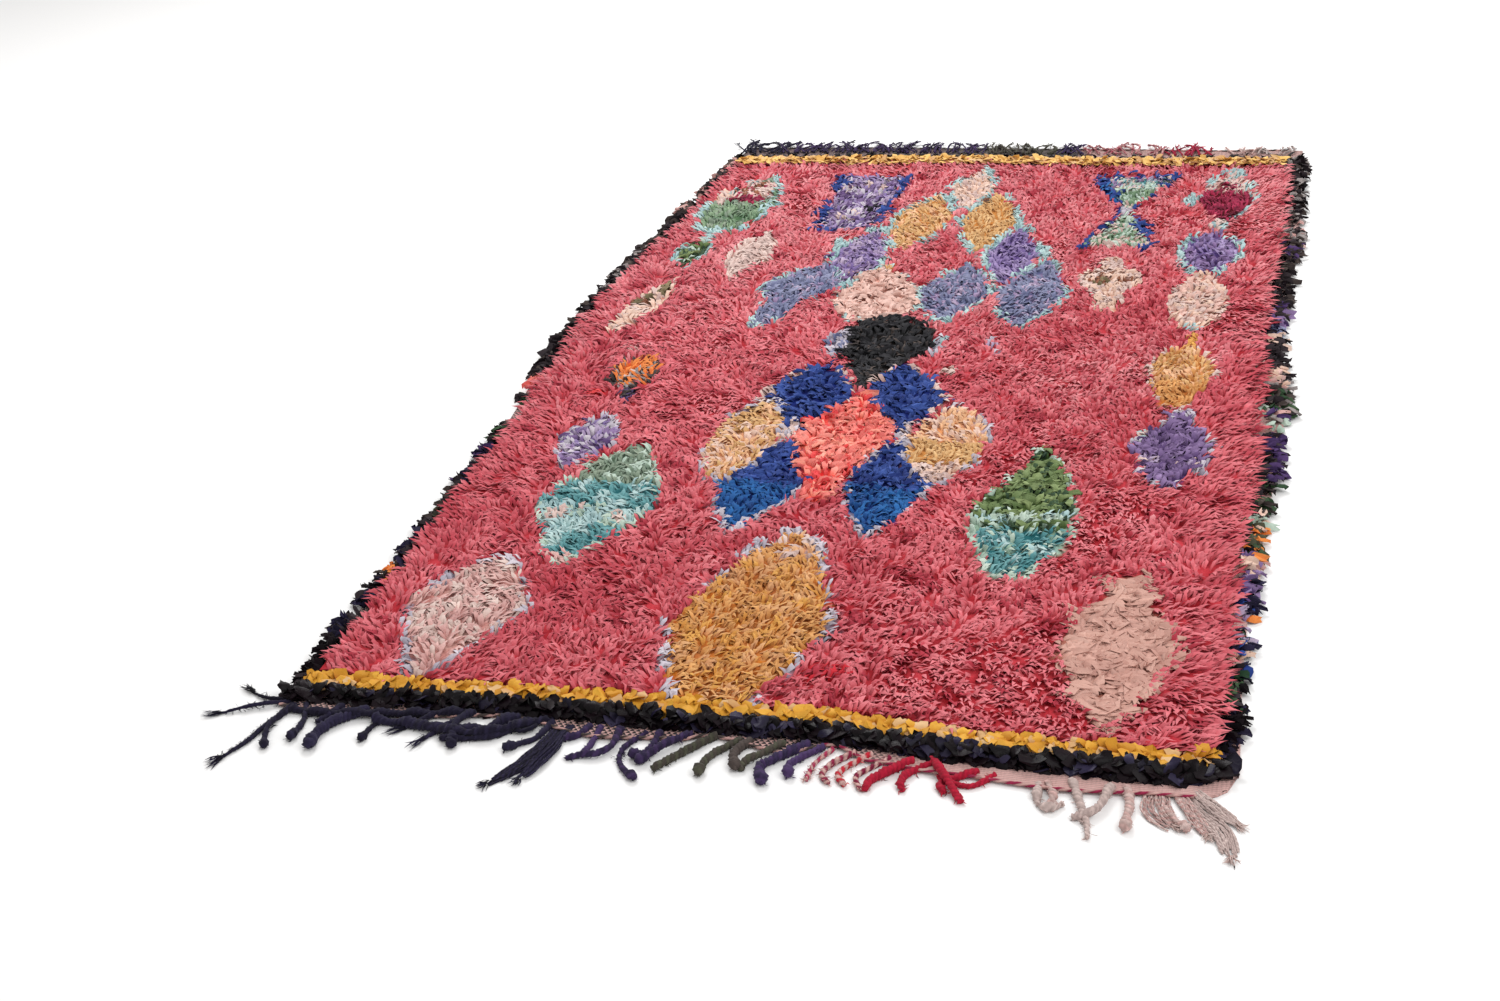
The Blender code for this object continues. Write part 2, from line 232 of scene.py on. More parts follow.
# %% The rug's dyes
Dye = namedtuple("Dye", "deep light")
DYES = {
    "rose": Dye((178, 68, 80), (213, 119, 127)),
    "rose_pink": Dye((190, 94, 104), (219, 142, 147)),
    "crimson_rag": Dye((146, 38, 54), (176, 60, 74)),
    "bright_red": Dye((172, 26, 44), (206, 50, 62)),
    "shell": Dye((188, 144, 140), (216, 178, 172)),
    "blush": Dye((176, 131, 120), (198, 156, 143)),
    "tan": Dye((186, 132, 90), (216, 168, 120)),
    "pale_yellow": Dye((206, 158, 84), (234, 196, 122)),
    "gold": Dye((178, 121, 65), (216, 163, 105)),
    "yellow_tan": Dye((190, 130, 62), (216, 164, 88)),
    "straw": Dye((206, 158, 118), (228, 186, 150)),
    "sage": Dye((100, 121, 105), (144, 156, 138)),
    "fern": Dye((90, 120, 94), (141, 162, 132)),
    "teal": Dye((56, 120, 126), (120, 166, 168)),
    "mint": Dye((158, 178, 164), (192, 206, 194)),
    "leaf": Dye((80, 102, 60), (136, 152, 104)),
    "deep_green": Dye((34, 58, 40), (70, 92, 66)),
    "royal": Dye((32, 50, 112), (64, 90, 160)),
    "sea_blue": Dye((12, 60, 120), (40, 104, 166)),
    "coral": Dye((214, 102, 98), (242, 154, 142)),
    "salmon": Dye((226, 134, 118), (244, 168, 150)),
    "hot_red": Dye((206, 58, 66), (232, 96, 92)),
    "sun": Dye((190, 144, 92), (215, 178, 130)),
    "cream": Dye((204, 172, 154), (226, 198, 184)),
    "bone": Dye((186, 160, 154), (220, 198, 190)),
    "soot": Dye((23, 23, 27), (52, 51, 55)),
    "powder": Dye((204, 166, 154), (230, 196, 186)),
    "slate": Dye((99, 104, 136), (143, 146, 173)),
    "purple": Dye((86, 62, 108), (150, 126, 168)),
    "lavender": Dye((112, 92, 144), (166, 148, 186)),
    "lilac": Dye((140, 120, 156), (184, 168, 190)),
    "frost": Dye((154, 148, 160), (204, 196, 205)),
    "aqua": Dye((140, 170, 174), (184, 206, 204)),
    "wine": Dye((94, 4, 40), (172, 52, 86)),
    "brown": Dye((116, 72, 52), (156, 104, 80)),
    "orange": Dye((198, 104, 44), (232, 146, 80)),
    "olive": Dye((92, 82, 58), (138, 124, 94)),
    "yellow": Dye((188, 128, 22), (220, 166, 60)),
    "black": Dye((6, 2, 5), (24, 14, 20)),
    "charcoal": Dye((24, 18, 22), (62, 54, 58)),
    # Midnight is partly a navy rag and partly painted sheen on black rags.
    "midnight": Dye((22, 18, 32), (50, 45, 68)),
    "ink": Dye((14, 11, 22), (34, 30, 48)),
    "navy": Dye((22, 19, 36), (45, 40, 66)),
    "plum": Dye((48, 34, 68), (86, 64, 110)),
    "umber": Dye((50, 42, 42), (86, 76, 72)),
    "marl": Dye((50, 50, 42), (98, 100, 80)),
    "ash": Dye((120, 112, 112), (168, 160, 158)),
    "dusty_pink": Dye((168, 122, 118), (206, 168, 162)),
    "pale_wool": Dye((164, 142, 138), (208, 188, 182)),
    "red": Dye((140, 12, 38), (184, 32, 58)),
}
DYE_NAMES = list(DYES)
print(len(DYES), "dyes")


# %% Turn dyes into colours
def linear(screen):
    """Screen colours of 0 to 255 as linear values of 0 to 1."""
    share = np.asarray(screen, float) / 255
    return np.where(share <= 0.04045, share / 12.92, ((share + 0.055) / 1.055) ** 2.4)


DEEP = linear([dye.deep for dye in DYES.values()])
LIGHT = linear([dye.light for dye in DYES.values()])


def dyed(codes, share):
    """One linear colour for each code, at its share of the way from deep to light."""
    return DEEP[codes] + (LIGHT[codes] - DEEP[codes]) * np.asarray(share)[:, None]


def code(name):
    return DYE_NAMES.index(name)


print("rose is", np.round(dyed([code("rose")], [0.5])[0], 3))

# %% [markdown]
# ## The weaver's chart
#
# The weaver worked from memory, with no drawing: lozenges in a loose grid down the rose field, one
# stack of them in the middle, a flower of nine, and near the far end a vase and an hourglass. They are
# common old shapes of this kind of rug.
#
# Each shape is drawn by a profile: how wide it is, as a share of its half width, from its lower tip at
# -1 to its upper one at 1. A dozen plain profiles are enough, because loose tufts fray every edge.

# %% Profiles of the shapes
PROFILES = {
    "lozenge": ((-1.0, 0.06), (-0.5, 0.60), (0.0, 1.0), (0.5, 0.60), (1.0, 0.06)),
    "petal": ((-1.0, 0.08), (-0.5, 0.70), (0.0, 1.0), (0.5, 0.68), (1.0, 0.06)),
    "crown": (
        (-1.0, 0.20), (-0.7, 0.38), (-0.28, 0.68), (-0.1, 1.0), (0.33, 0.94), (0.5, 0.6), (0.7, 0.26), (1.0, 0.1)
    ),
    "diamond": ((-1.0, 0.10), (-0.62, 0.44), (-0.38, 0.70), (0.0, 1.0), (0.43, 0.70), (0.76, 0.42), (1.0, 0.10)),
    "kite": (
        (-1.0, 0.12), (-0.62, 0.36), (-0.38, 0.43), (-0.24, 0.64), (0.0, 1.0), (0.38, 0.78), (0.69, 0.5), (1.0, 0.1)
    ),
    "bulb": (
        (-1.0, 0.25), (-0.83, 0.45), (-0.55, 0.72), (-0.28, 0.89), (0.0, 1.0), (0.2, 0.86), (0.58, 0.55),
        (0.77, 0.32), (1.0, 0.08),
    ),
    "pot": ((-1.0, 0.12), (-0.7, 0.34), (-0.5, 0.6), (-0.25, 0.95), (0.0, 1.0), (0.5, 0.95), (0.85, 0.5), (1.0, 0.2)),
    "cross": ((-1.0, 0.30), (-0.35, 0.55), (-0.15, 0.95), (0.25, 1.0), (0.45, 0.5), (1.0, 0.25)),
    "fat": ((-1.0, 0.25), (-0.55, 0.82), (0.0, 1.0), (0.5, 0.80), (1.0, 0.12)),
    "drop": ((-1.0, 0.45), (-0.45, 0.92), (0.0, 1.0), (0.5, 0.62), (1.0, 0.05)),
    "vase": ((-1.0, 0.60), (-0.6, 0.76), (-0.2, 0.72), (0.25, 0.84), (1.0, 1.0)),
    "hourglass": ((-1.0, 0.84), (-0.12, 0.10), (0.0, 0.06), (0.1, 0.10), (1.0, 1.0)),
}
print(len(PROFILES), "profiles")

# %% [markdown]
# The chart itself is a table. It gives each shape a middle, a half width, a reach up and down, a lean
# and its rags, all rounded to a few millimetres. Where several rags are named, they lie in patches. The
# last two columns are the rag of its loose rim and how far that reaches. Later rows lie over earlier
# ones, so the small patches come last.

# %% Chart of the lozenges
Motif = namedtuple("Motif", "name x y half_width up down lean profile dyes fleck rim")
MOTIFS = (
    Motif("shell", -0.505, -1.020, 0.096, 0.142, 0.212, 0.0, "diamond", "shell shell bone shell", "frost", 0.009),
    Motif("great_gold", -0.047, -1.030, 0.122, 0.300, 0.330, 0.01,
          "diamond", "gold tan gold yellow_tan gold", "frost", 0.013),
    Motif("blush", 0.500, -1.030, 0.086, 0.212, 0.205, 0.0, "lozenge", "blush", "", 0.0),
    Motif("lagoon", -0.412, -0.670, 0.106, 0.222, 0.212, 0.0, "diamond", "sage sage mint sage", "mint", 0.006),
    Motif("leaf", 0.315, -0.650, 0.082, 0.255, 0.182, 0.0, "bulb", "leaf leaf deep_green leaf", "mint", 0.010),
    Motif("small_purple", -0.512, -0.430, 0.050, 0.100, 0.105, 0.0,
          "petal", "lavender frost purple lilac", "frost", 0.008),
    Motif("ember", -0.520, -0.118, 0.050, 0.074, 0.092, 0.0,
          "petal", "umber orange orange ash orange", "umber", 0.007),
    Motif("ember_stripe", -0.528, -0.095, 0.022, 0.045, 0.045, 0.2, "fat", "orange", "", 0.0),
    Motif("ember_foot", -0.503, -0.222, 0.018, 0.036, 0.040, 0.0, "fat", "umber plum", "", 0.0),
    Motif("olive_strip", -0.612, 0.212, 0.032, 0.150, 0.150, 0.16, "fat", "cream bone cream", "", 0.0),
    Motif("olive_top", -0.592, 0.305, 0.015, 0.032, 0.035, 0.0, "fat", "olive", "", 0.0),
    Motif("olive_heart", -0.620, 0.235, 0.022, 0.030, 0.030, 0.5, "fat", "olive brown", "", 0.0),
    Motif("left_cream", -0.464, 0.522, 0.052, 0.145, 0.145, 0.05, "petal", "bone", "", 0.0),
    Motif("neck", -0.592, 0.650, 0.014, 0.050, 0.050, 0.0, "fat", "aqua", "", 0.0),
    Motif("green_bud", -0.598, 0.532, 0.032, 0.075, 0.085, 0.0,
          "petal", "deep_green deep_green leaf deep_green mint", "aqua", 0.010),
    Motif("lantern", -0.570, 0.850, 0.080, 0.195, 0.185, 0.08, "drop", "fern sage fern", "aqua", 0.014),
    Motif("vase", -0.292, 0.860, 0.082, 0.185, 0.175, 0.0,
          "vase", "lavender purple lilac purple frost lavender lilac", "royal", 0.015),
    Motif("cream_peak", -0.045, 0.965, 0.050, 0.135, 0.130, 0.0, "lozenge", "bone cream", "aqua", 0.018),
    Motif("left_sun", -0.124, 0.765, 0.064, 0.145, 0.205, 0.06, "petal", "sun sun straw", "aqua", 0.012),
    Motif("right_sun", 0.028, 0.754, 0.060, 0.175, 0.190, -0.04, "petal", "sun", "aqua", 0.016),
    Motif("left_violet", -0.218, 0.520, 0.058, 0.165, 0.182, 0.03, "petal", "purple lavender lilac", "aqua", 0.015),
    Motif("right_violet", 0.112, 0.540, 0.054, 0.165, 0.165, -0.03, "petal", "lavender", "aqua", 0.015),
    Motif("left_slate", -0.304, 0.330, 0.086, 0.135, 0.212, 0.18,
          "kite", "slate slate slate lilac slate", "aqua", 0.008),
    Motif("middle_slate", 0.026, 0.322, 0.070, 0.160, 0.150, 0.02, "petal", "slate lilac slate slate", "aqua", 0.012),
    Motif("right_slate", 0.184, 0.325, 0.070, 0.175, 0.170, 0.05, "petal", "slate slate lilac slate", "aqua", 0.011),
    Motif("powder", -0.124, 0.268, 0.088, 0.215, 0.115, -0.10, "drop", "powder", "aqua", 0.006),
    Motif("powder_top", -0.146, 0.455, 0.014, 0.030, 0.030, 0.0, "fat", "sun bone", "", 0.0),
    Motif("soot", -0.060, 0.050, 0.088, 0.136, 0.205, 0.0, "pot", "soot soot umber soot soot", "", 0.0),
    Motif("soot_side", -0.158, 0.046, 0.023, 0.062, 0.070, 0.0, "fat", "frost slate frost frost", "", 0.0),
    Motif("soot_fleck", 0.040, 0.045, 0.014, 0.050, 0.045, 0.0, "fat", "aqua frost", "", 0.0),
    Motif("far_fleck", 0.146, 0.060, 0.013, 0.045, 0.040, -0.3, "fat", "frost rose_pink lilac", "", 0.0),
    Motif("left_petal", -0.152, -0.205, 0.080, 0.150, 0.178, 0.0, "petal", "royal", "bone", 0.007),
    Motif("right_petal", 0.022, -0.200, 0.074, 0.150, 0.150, -0.14, "petal", "royal", "bone", 0.007),
    Motif("left_low_petal", -0.150, -0.565, 0.077, 0.168, 0.170, 0.03, "petal", "royal", "frost", 0.007),
    Motif("right_low_petal", 0.068, -0.545, 0.072, 0.185, 0.180, 0.0, "petal", "royal", "frost", 0.007),
    Motif("left_straw", -0.226, -0.385, 0.062, 0.150, 0.165, 0.03, "fat", "sun straw cream straw", "frost", 0.011),
    Motif("right_straw", 0.139, -0.378, 0.068, 0.150, 0.165, 0.0, "fat", "straw cream straw", "frost", 0.007),
    Motif("coral", -0.048, -0.380, 0.088, 0.205, 0.250, 0.0, "crown", "hot_red coral coral salmon coral", "", 0.0),
    Motif("petal_patch", -0.234, -0.205, 0.012, 0.042, 0.040, 0.0, "fat", "bone", "", 0.0),
    Motif("left_inner_patch", -0.152, -0.350, 0.012, 0.045, 0.045, 0.0, "fat", "frost bone", "", 0.0),
    Motif("right_inner_patch", 0.058, -0.350, 0.012, 0.045, 0.050, 0.0, "fat", "frost bone", "", 0.0),
    Motif("right_purple", 0.526, -0.372, 0.066, 0.138, 0.142, 0.0, "petal", "purple", "frost", 0.011),
    Motif("right_purple_patch", 0.472, -0.318, 0.010, 0.026, 0.024, 0.0, "fat", "aqua bone", "", 0.0),
    Motif("small_gold", 0.514, -0.035, 0.058, 0.115, 0.170, 0.0, "fat", "gold sun straw gold sun", "bone", 0.006),
    Motif("gold_heart", 0.514, -0.050, 0.022, 0.018, 0.026, 0.4, "fat", "straw", "", 0.0),
    Motif("gold_light", 0.524, 0.104, 0.012, 0.034, 0.040, 0.0, "fat", "yellow_tan", "", 0.0),
    Motif("right_cream", 0.518, 0.315, 0.061, 0.140, 0.155, 0.0, "fat", "cream bone powder", "", 0.0),
    Motif("right_violet_bud", 0.524, 0.580, 0.054, 0.125, 0.125, 0.0,
          "fat", "lavender purple lavender", "aqua", 0.016),
    Motif("wine_halo", 0.540, 0.945, 0.058, 0.165, 0.160, 0.0, "lozenge", "shell aqua bone", "aqua", 0.016),
    Motif("wine", 0.537, 0.905, 0.064, 0.125, 0.155, 0.0, "diamond", "wine", "", 0.0),
    Motif("fleck_cream", 0.332, 0.405, 0.066, 0.125, 0.155, -0.05, "cross", "cream bone", "", 0.0),
    Motif("brown_fleck", 0.310, 0.402, 0.015, 0.034, 0.034, 0.0, "fat", "brown olive", "", 0.0),
    Motif("hourglass", 0.325, 0.832, 0.085, 0.226, 0.226, 0.0,
          "hourglass", "fern mint fern bone mint", "royal", 0.016),
    Motif("hourglass_waist", 0.320, 0.832, 0.016, 0.020, 0.020, 0.0, "fat", "frost", "", 0.0),
    Motif("vase_spot", -0.254, 0.813, 0.018, 0.028, 0.028, 0.0, "fat", "soot", "", 0.0),
    Motif("red_spot", 0.098, -1.150, 0.040, 0.020, 0.020, 0.0, "fat", "bright_red crimson_rag", "", 0.0),
    Motif("brown_fleck_right", 0.368, 0.403, 0.020, 0.012, 0.014, 0.0, "fat", "brown", "", 0.0),
    Motif("peak_spot", 0.000, 0.885, 0.011, 0.024, 0.024, 0.0, "fat", "brown umber", "", 0.0),
    Motif("wine_left", 0.458, 0.905, 0.014, 0.036, 0.036, 0.0, "fat", "aqua", "", 0.0),
    Motif("wine_foot", 0.530, 0.748, 0.019, 0.030, 0.034, 0.0, "fat", "aqua bone", "", 0.0),
    Motif("cream_red", -0.476, 0.645, 0.014, 0.018, 0.018, 0.0, "fat", "crimson_rag", "", 0.0),
    Motif("ember_heart", -0.522, -0.145, 0.010, 0.014, 0.014, 0.0, "fat", "bone", "", 0.0),
    Motif("vase_strip_left", -0.343, 0.965, 0.009, 0.045, 0.045, 0.0, "fat", "bone frost", "", 0.0),
    Motif("vase_strip_middle", -0.302, 0.985, 0.009, 0.048, 0.050, 0.0, "fat", "frost bone", "", 0.0),
    Motif("vase_strip_right", -0.262, 0.965, 0.009, 0.050, 0.050, 0.0, "fat", "bone frost", "", 0.0),
    Motif("vase_low", -0.302, 0.765, 0.030, 0.045, 0.040, 0.0, "petal", "lilac bone frost lilac", "", 0.0),
    Motif("vase_left_corner", -0.375, 1.010, 0.016, 0.034, 0.040, 0.0, "fat", "royal", "", 0.0),
    Motif("vase_right_corner", -0.216, 1.012, 0.018, 0.032, 0.036, 0.0, "fat", "royal", "", 0.0),
    Motif("vase_left_bulge", -0.362, 0.780, 0.010, 0.036, 0.040, 0.0, "fat", "royal", "", 0.0),
    Motif("hour_left_corner", 0.254, 1.022, 0.019, 0.036, 0.044, 0.0, "fat", "royal", "", 0.0),
    Motif("hour_left_side", 0.273, 0.950, 0.015, 0.060, 0.055, -0.35, "fat", "royal sea_blue", "", 0.0),
    Motif("hour_low_right", 0.366, 0.735, 0.012, 0.060, 0.055, -0.20, "fat", "royal", "", 0.0),
    Motif("sun_right_strip", 0.092, 0.770, 0.012, 0.070, 0.070, -0.25, "fat", "aqua", "", 0.0),
    Motif("violet_right_strip", 0.178, 0.560, 0.013, 0.060, 0.060, -0.20, "fat", "aqua", "", 0.0),
    Motif("violet_left_strip", -0.280, 0.600, 0.013, 0.040, 0.050, 0.0, "fat", "aqua", "", 0.0),
    Motif("lantern_right_strip", -0.508, 0.865, 0.014, 0.120, 0.080, -0.05, "fat", "aqua fern", "", 0.0),
    Motif("lantern_left_patch", -0.632, 0.905, 0.020, 0.040, 0.045, 0.0, "fat", "bone cream", "", 0.0),
    Motif("bone_fleck", 0.086, -0.076, 0.012, 0.022, 0.020, 0.0, "fat", "bone", "", 0.0),
    Motif("left_speck", -0.566, -0.010, 0.012, 0.012, 0.012, 0.0, "fat", "shell", "", 0.0),
    Motif("left_red_lump", -0.566, -0.225, 0.015, 0.024, 0.022, 0.0, "fat", "hot_red bright_red", "", 0.0),
)
print(len(MOTIFS), "motifs")

# %% [markdown]
# Some lozenges change dye part of the way up, where one garment ran out. Those changes are bands, from
# one height of the rug to another.

# %% Bands of the chart
Band = namedtuple("Band", "name low high dyes")
BANDS = (
    Band("great_gold", -0.815, -0.700, "straw bone gold"),
    Band("lagoon", -0.682, -0.592, "teal teal teal aqua"),
    Band("lagoon", -0.746, -0.682, "bone aqua mint aqua"),
    Band("lagoon", -0.848, -0.746, "teal teal teal teal aqua"),
    Band("lagoon", -0.920, -0.848, "shell"),
    Band("leaf", -0.662, -0.634, "mint aqua mint"),
    Band("leaf", -0.686, -0.662, "leaf mint leaf deep_green"),
    Band("leaf", -0.860, -0.686, "teal teal teal mint teal aqua"),
    Band("lantern", 0.862, 0.905, "wine"),
    Band("lantern", 0.905, 1.010, "bone brown shell wine brown bone"),
    Band("lantern", 1.010, 1.080, "aqua sage"),
    Band("lantern", 0.640, 0.690, "aqua sage"),
    Band("left_violet", 0.555, 0.700, "lilac lavender lilac"),
    Band("right_purple", -0.436, -0.404, "lilac bone purple"),
    Band("wine", 0.962, 1.060, "bone wine shell wine"),
    Band("right_cream", 0.150, 0.200, "aqua cream"),
    Band("right_straw", -0.470, -0.375, "sun"),
    Band("right_straw", -0.580, -0.470, "bone cream"),
    Band("left_straw", -0.345, -0.220, "sun sun straw"),
    Band("left_low_petal", -0.760, -0.568, "sea_blue"),
    Band("right_low_petal", -0.760, -0.560, "sea_blue"),
    Band("small_gold", -0.220, -0.100, "gold"),
    Band("hourglass", 0.885, 0.965, "fern mint fern"),
    Band("hourglass", 0.965, 1.070, "mint aqua bone teal lilac"),
    Band("hourglass", 0.600, 0.655, "bone mint fern bone fern"),
)
print(len(BANDS), "bands")


# %% Pick a rag, and tell what lies inside a shape
def pick(names, x, y, size, seed):
    """One dye code for each place: of several names, lumps of about the given size."""
    codes = np.array([code(name) for name in names.split()])
    if len(codes) == 1:
        return np.full(len(x), codes[0])
    spread = np.clip((waves(x, y, size, seed) + 0.40) / 0.80, 0, 0.999)
    return codes[(spread * len(codes)).astype(int)]


def inside(motif, x, y, rim):
    """Where the places lie in the motif's profile, made larger all round by rim."""
    rise = y - motif.y
    reach = np.where(rise > 0, motif.up, motif.down) + rim
    shares, widths = zip(*PROFILES[motif.profile])
    half = motif.half_width * np.interp(rise / reach, shares, widths, 0, 0) + rim
    return (abs(rise) < reach) & (abs(x - motif.x - motif.lean * rise) < half)


centre = np.zeros(1)
print("the middle of the rug is in", [m.name for m in MOTIFS if inside(m, centre, centre, 0)[0]])

# %% [markdown]
# The rose isn't even either: it is paler in some places and deeper in others. Each row of this table is
# one such place, with its reach across and along the rug, and how much paler its rags are, with a
# minus for deeper. Where two places overlap, they add up.

# %% Where the rose fades
Fade = namedtuple("Fade", "x y across along lighter")
ROSE_FADES = (
    Fade(0.40, -0.68, 0.20, 0.07, 0.50),
    Fade(0.24, -0.84, 0.14, 0.06, 0.20),
    Fade(0.13, -0.50, 0.07, 0.07, 0.20),
    Fade(-0.38, 0.06, 0.16, 0.12, 0.30),
    Fade(-0.39, -0.50, 0.08, 0.10, 0.30),
    Fade(-0.27, -0.32, 0.06, 0.09, 0.35),
    Fade(0.30, 0.13, 0.22, 0.07, -0.35),
    Fade(0.30, 0.60, 0.20, 0.04, -0.30),
    Fade(-0.65, 0.00, 0.08, 0.22, -0.45),
    Fade(-0.63, 0.50, 0.08, 0.30, -0.30),
    Fade(-0.60, -0.70, 0.10, 0.14, -0.30),
    Fade(0.65, -0.02, 0.06, 0.10, -0.45),
    Fade(0.45, -0.20, 0.12, 0.10, -0.30),
    Fade(0.66, -0.82, 0.05, 0.10, -0.40),
    Fade(-0.03, 0.61, 0.09, 0.08, -0.55),
    Fade(0.14, 0.94, 0.10, 0.12, -0.25),
    Fade(-0.50, 0.94, 0.10, 0.12, -0.10),
    Fade(0.28, -1.08, 0.20, 0.16, 0.40),
    Fade(-0.36, -1.00, 0.10, 0.12, -0.50),
    Fade(-0.12, -0.82, 0.15, 0.06, -0.35),
    Fade(0.00, 1.12, 0.80, 0.08, -0.12),
    Fade(0.26, 0.92, 0.07, 0.12, -0.20),
)


def rose_fade(x, y):
    """How much paler or deeper the rose runs at each place."""
    total = np.zeros(len(x))
    for fade in ROSE_FADES:
        total += fade.lighter * np.exp(-(((x - fade.x) / fade.across) ** 2) - ((y - fade.y) / fade.along) ** 2)
    return total


print(len(ROSE_FADES), "places where the rose fades")

# %% Read the chart
FLECK_SHARE = 0.58
FLECK_SIZE = 0.045
MOTTLE_LEAST = 0.015
CRIMSON_FROM = 0.43
STRAY_ACROSS, STRAY_ALONG = 0.0028, 0.0040


def rose_codes(x, y, rng):
    """The field's own dye: pinker towards the far end, with crimson specks in patches, more of them at the near right.
    """
    far = (y + 0.35) / 1.5 + waves(x, y, 0.30, 4.2) * 0.9
    codes = np.where(rng.random(len(x)) < np.clip(far, 0.0, 0.9), code("rose_pink"), code("rose"))
    darker_corner = np.exp(-(((x - 0.30) / 0.26) ** 2) - ((y + 1.02) / 0.20) ** 2)
    speck = waves(x, y * 1.4, 0.038, 7.7) + 0.15 * darker_corner + 0.07 * rng.standard_normal(len(x))
    return np.where(speck > CRIMSON_FROM, code("crimson_rag"), codes)


def charted(x, y, rng):
    """The dye code of a tuft at each place, with the edges loosened by a few millimetres."""
    x = x + rng.normal(0, STRAY_ACROSS, len(x))
    y = y + rng.normal(0, STRAY_ALONG, len(y))
    codes = rose_codes(x, y, rng)
    for number, motif in enumerate(MOTIFS):
        within = inside(motif, x, y, 0)
        if motif.fleck:
            around = np.flatnonzero(inside(motif, x, y, motif.rim) & ~within)
            kept = waves(x[around], y[around], FLECK_SIZE, 20 + number) + 0.5 < FLECK_SHARE
            codes[around[kept]] = code(motif.fleck)
        size = max(MOTTLE_LEAST, motif.half_width * 0.32)
        within = np.flatnonzero(within)
        codes[within] = pick(motif.dyes, x[within], y[within], size, number)
        for band in BANDS:
            if band.name == motif.name:
                here = within[(y[within] > band.low) & (y[within] < band.high)]
                codes[here] = pick(band.dyes, x[here], y[here], size, number + 0.5)
    return codes


print("a lozenge's rim is flecked where noise is under", FLECK_SHARE)

# %% [markdown]
# ## Writing a material as a sum
#
# A material is a small piece of arithmetic done at every point of a surface. It reads more easily as
# arithmetic than as a picture of boxes and wires. The class below wraps one socket, so that plus,
# minus and times between wires make the nodes that do it.

# %% A wire that can be added and multiplied
class Wire:
    """A number, colour or direction on its way through a material."""

    def __init__(self, tree, socket):
        self.tree = tree
        self.socket = socket

    def through(self, kind, output=0, settings=(), **inputs):
        """A new node of this kind. Settings are its own options, and inputs its sockets by name."""
        node = self.tree.nodes.new(kind)
        for name, value in settings:
            setattr(node, name, value)
        for name, value in inputs.items():
            self.join(value, node.inputs[name.replace("_", " ")])
        return Wire(self.tree, node.outputs[output])

    def join(self, value, socket):
        if isinstance(value, Wire):
            self.tree.links.new(value.socket, socket)
        else:
            socket.default_value = value

    def math(self, operation, first, second=0.0, third=0.0):
        node = self.tree.nodes.new("ShaderNodeMath")
        node.operation = operation
        for value, socket in zip((first, second, third), node.inputs):
            self.join(value, socket)
        return Wire(self.tree, node.outputs[0])

    def __add__(self, other):
        return self.math("ADD", self, other)

    __radd__ = __add__

    def __sub__(self, other):
        return self.math("SUBTRACT", self, other)

    def __rsub__(self, other):
        return self.math("SUBTRACT", other, self)

    def __mul__(self, other):
        return self.math("MULTIPLY", self, other)

    __rmul__ = __mul__

    def stretched(self, scale):
        """A direction or place, scaled along each axis."""
        node = self.tree.nodes.new("ShaderNodeVectorMath")
        node.operation = "MULTIPLY"
        self.join(self, node.inputs[0])
        node.inputs[1].default_value = scale
        return Wire(self.tree, node.outputs[0])

    def mixed(self, other, share, blend="MIX"):
        """This colour with another one over it, by a share of 0 to 1."""
        node = self.tree.nodes.new("ShaderNodeMix")
        node.data_type = "RGBA"
        node.blend_type = blend
        self.join(share, node.inputs[0])
        self.join(self, node.inputs[6])
        self.join(other, node.inputs[7])
        return Wire(self.tree, node.outputs[2])

    def grey(self):
        """A number as a colour, for a mix."""
        return self.through("ShaderNodeCombineColor", Red=self, Green=self, Blue=self)


# %% Start a material, and raise its surface
def new_material(name, roughness, sheen=0.0, gloss=0.25):
    """(material, a wire to start from, the shader) with the values that don't change set on it."""
    material = bpy.data.materials.new(name)
    material.use_nodes = True
    shader = material.node_tree.nodes["Principled BSDF"]
    shader.inputs["Roughness"].default_value = roughness
    shader.inputs["Sheen Weight"].default_value = sheen
    shader.inputs["Specular IOR Level"].default_value = gloss
    start = material.node_tree.nodes.new("ShaderNodeTexCoord")
    return material, Wire(material.node_tree, start.outputs["Object"]), shader


def raise_from(place, shader, height, distance, strength):
    """Bumps the surface by a height wire, distance being how far a height of 1 stands out."""
    bump = place.through("ShaderNodeBump", Height=height, Distance=distance, Strength=strength)
    place.join(bump, shader.inputs["Normal"])


# %% [markdown]
# ## Cloth of the rags
#
# Cotton rags are matte and slightly fuzzy, so they have high roughness and a little sheen. The dye
# comes from each tuft's own colour, kept on its points. Over it go faint fades and fine creases. The
# black rags of the end rows came from a lining with a satin face, so they shine more than the rest.

# %% Materials of the rags
FADE_SCALE = 240.0
CREASE_SCALE = 420.0
CREASE_HEIGHT = 0.0012
rag_cloths = {}


def rag_material(name, roughness, sheen, gloss, crease, fade):
    material, place, shader = new_material(name, roughness, sheen, gloss)
    dye = place.through("ShaderNodeAttribute", settings=(("attribute_name", "dye"),))
    faded = place.through("ShaderNodeTexNoise", Vector=place, Scale=FADE_SCALE, Detail=3.0)
    depth = faded * (2 * fade) + (1 - fade)
    place.join(dye.mixed(depth.grey(), 1.0, "MULTIPLY"), shader.inputs["Base Color"])
    creases = place.through("ShaderNodeTexNoise", Vector=place, Scale=CREASE_SCALE, Detail=2.0)
    raise_from(place, shader, creases, CREASE_HEIGHT, crease)
    rag_cloths[name] = material
    return material


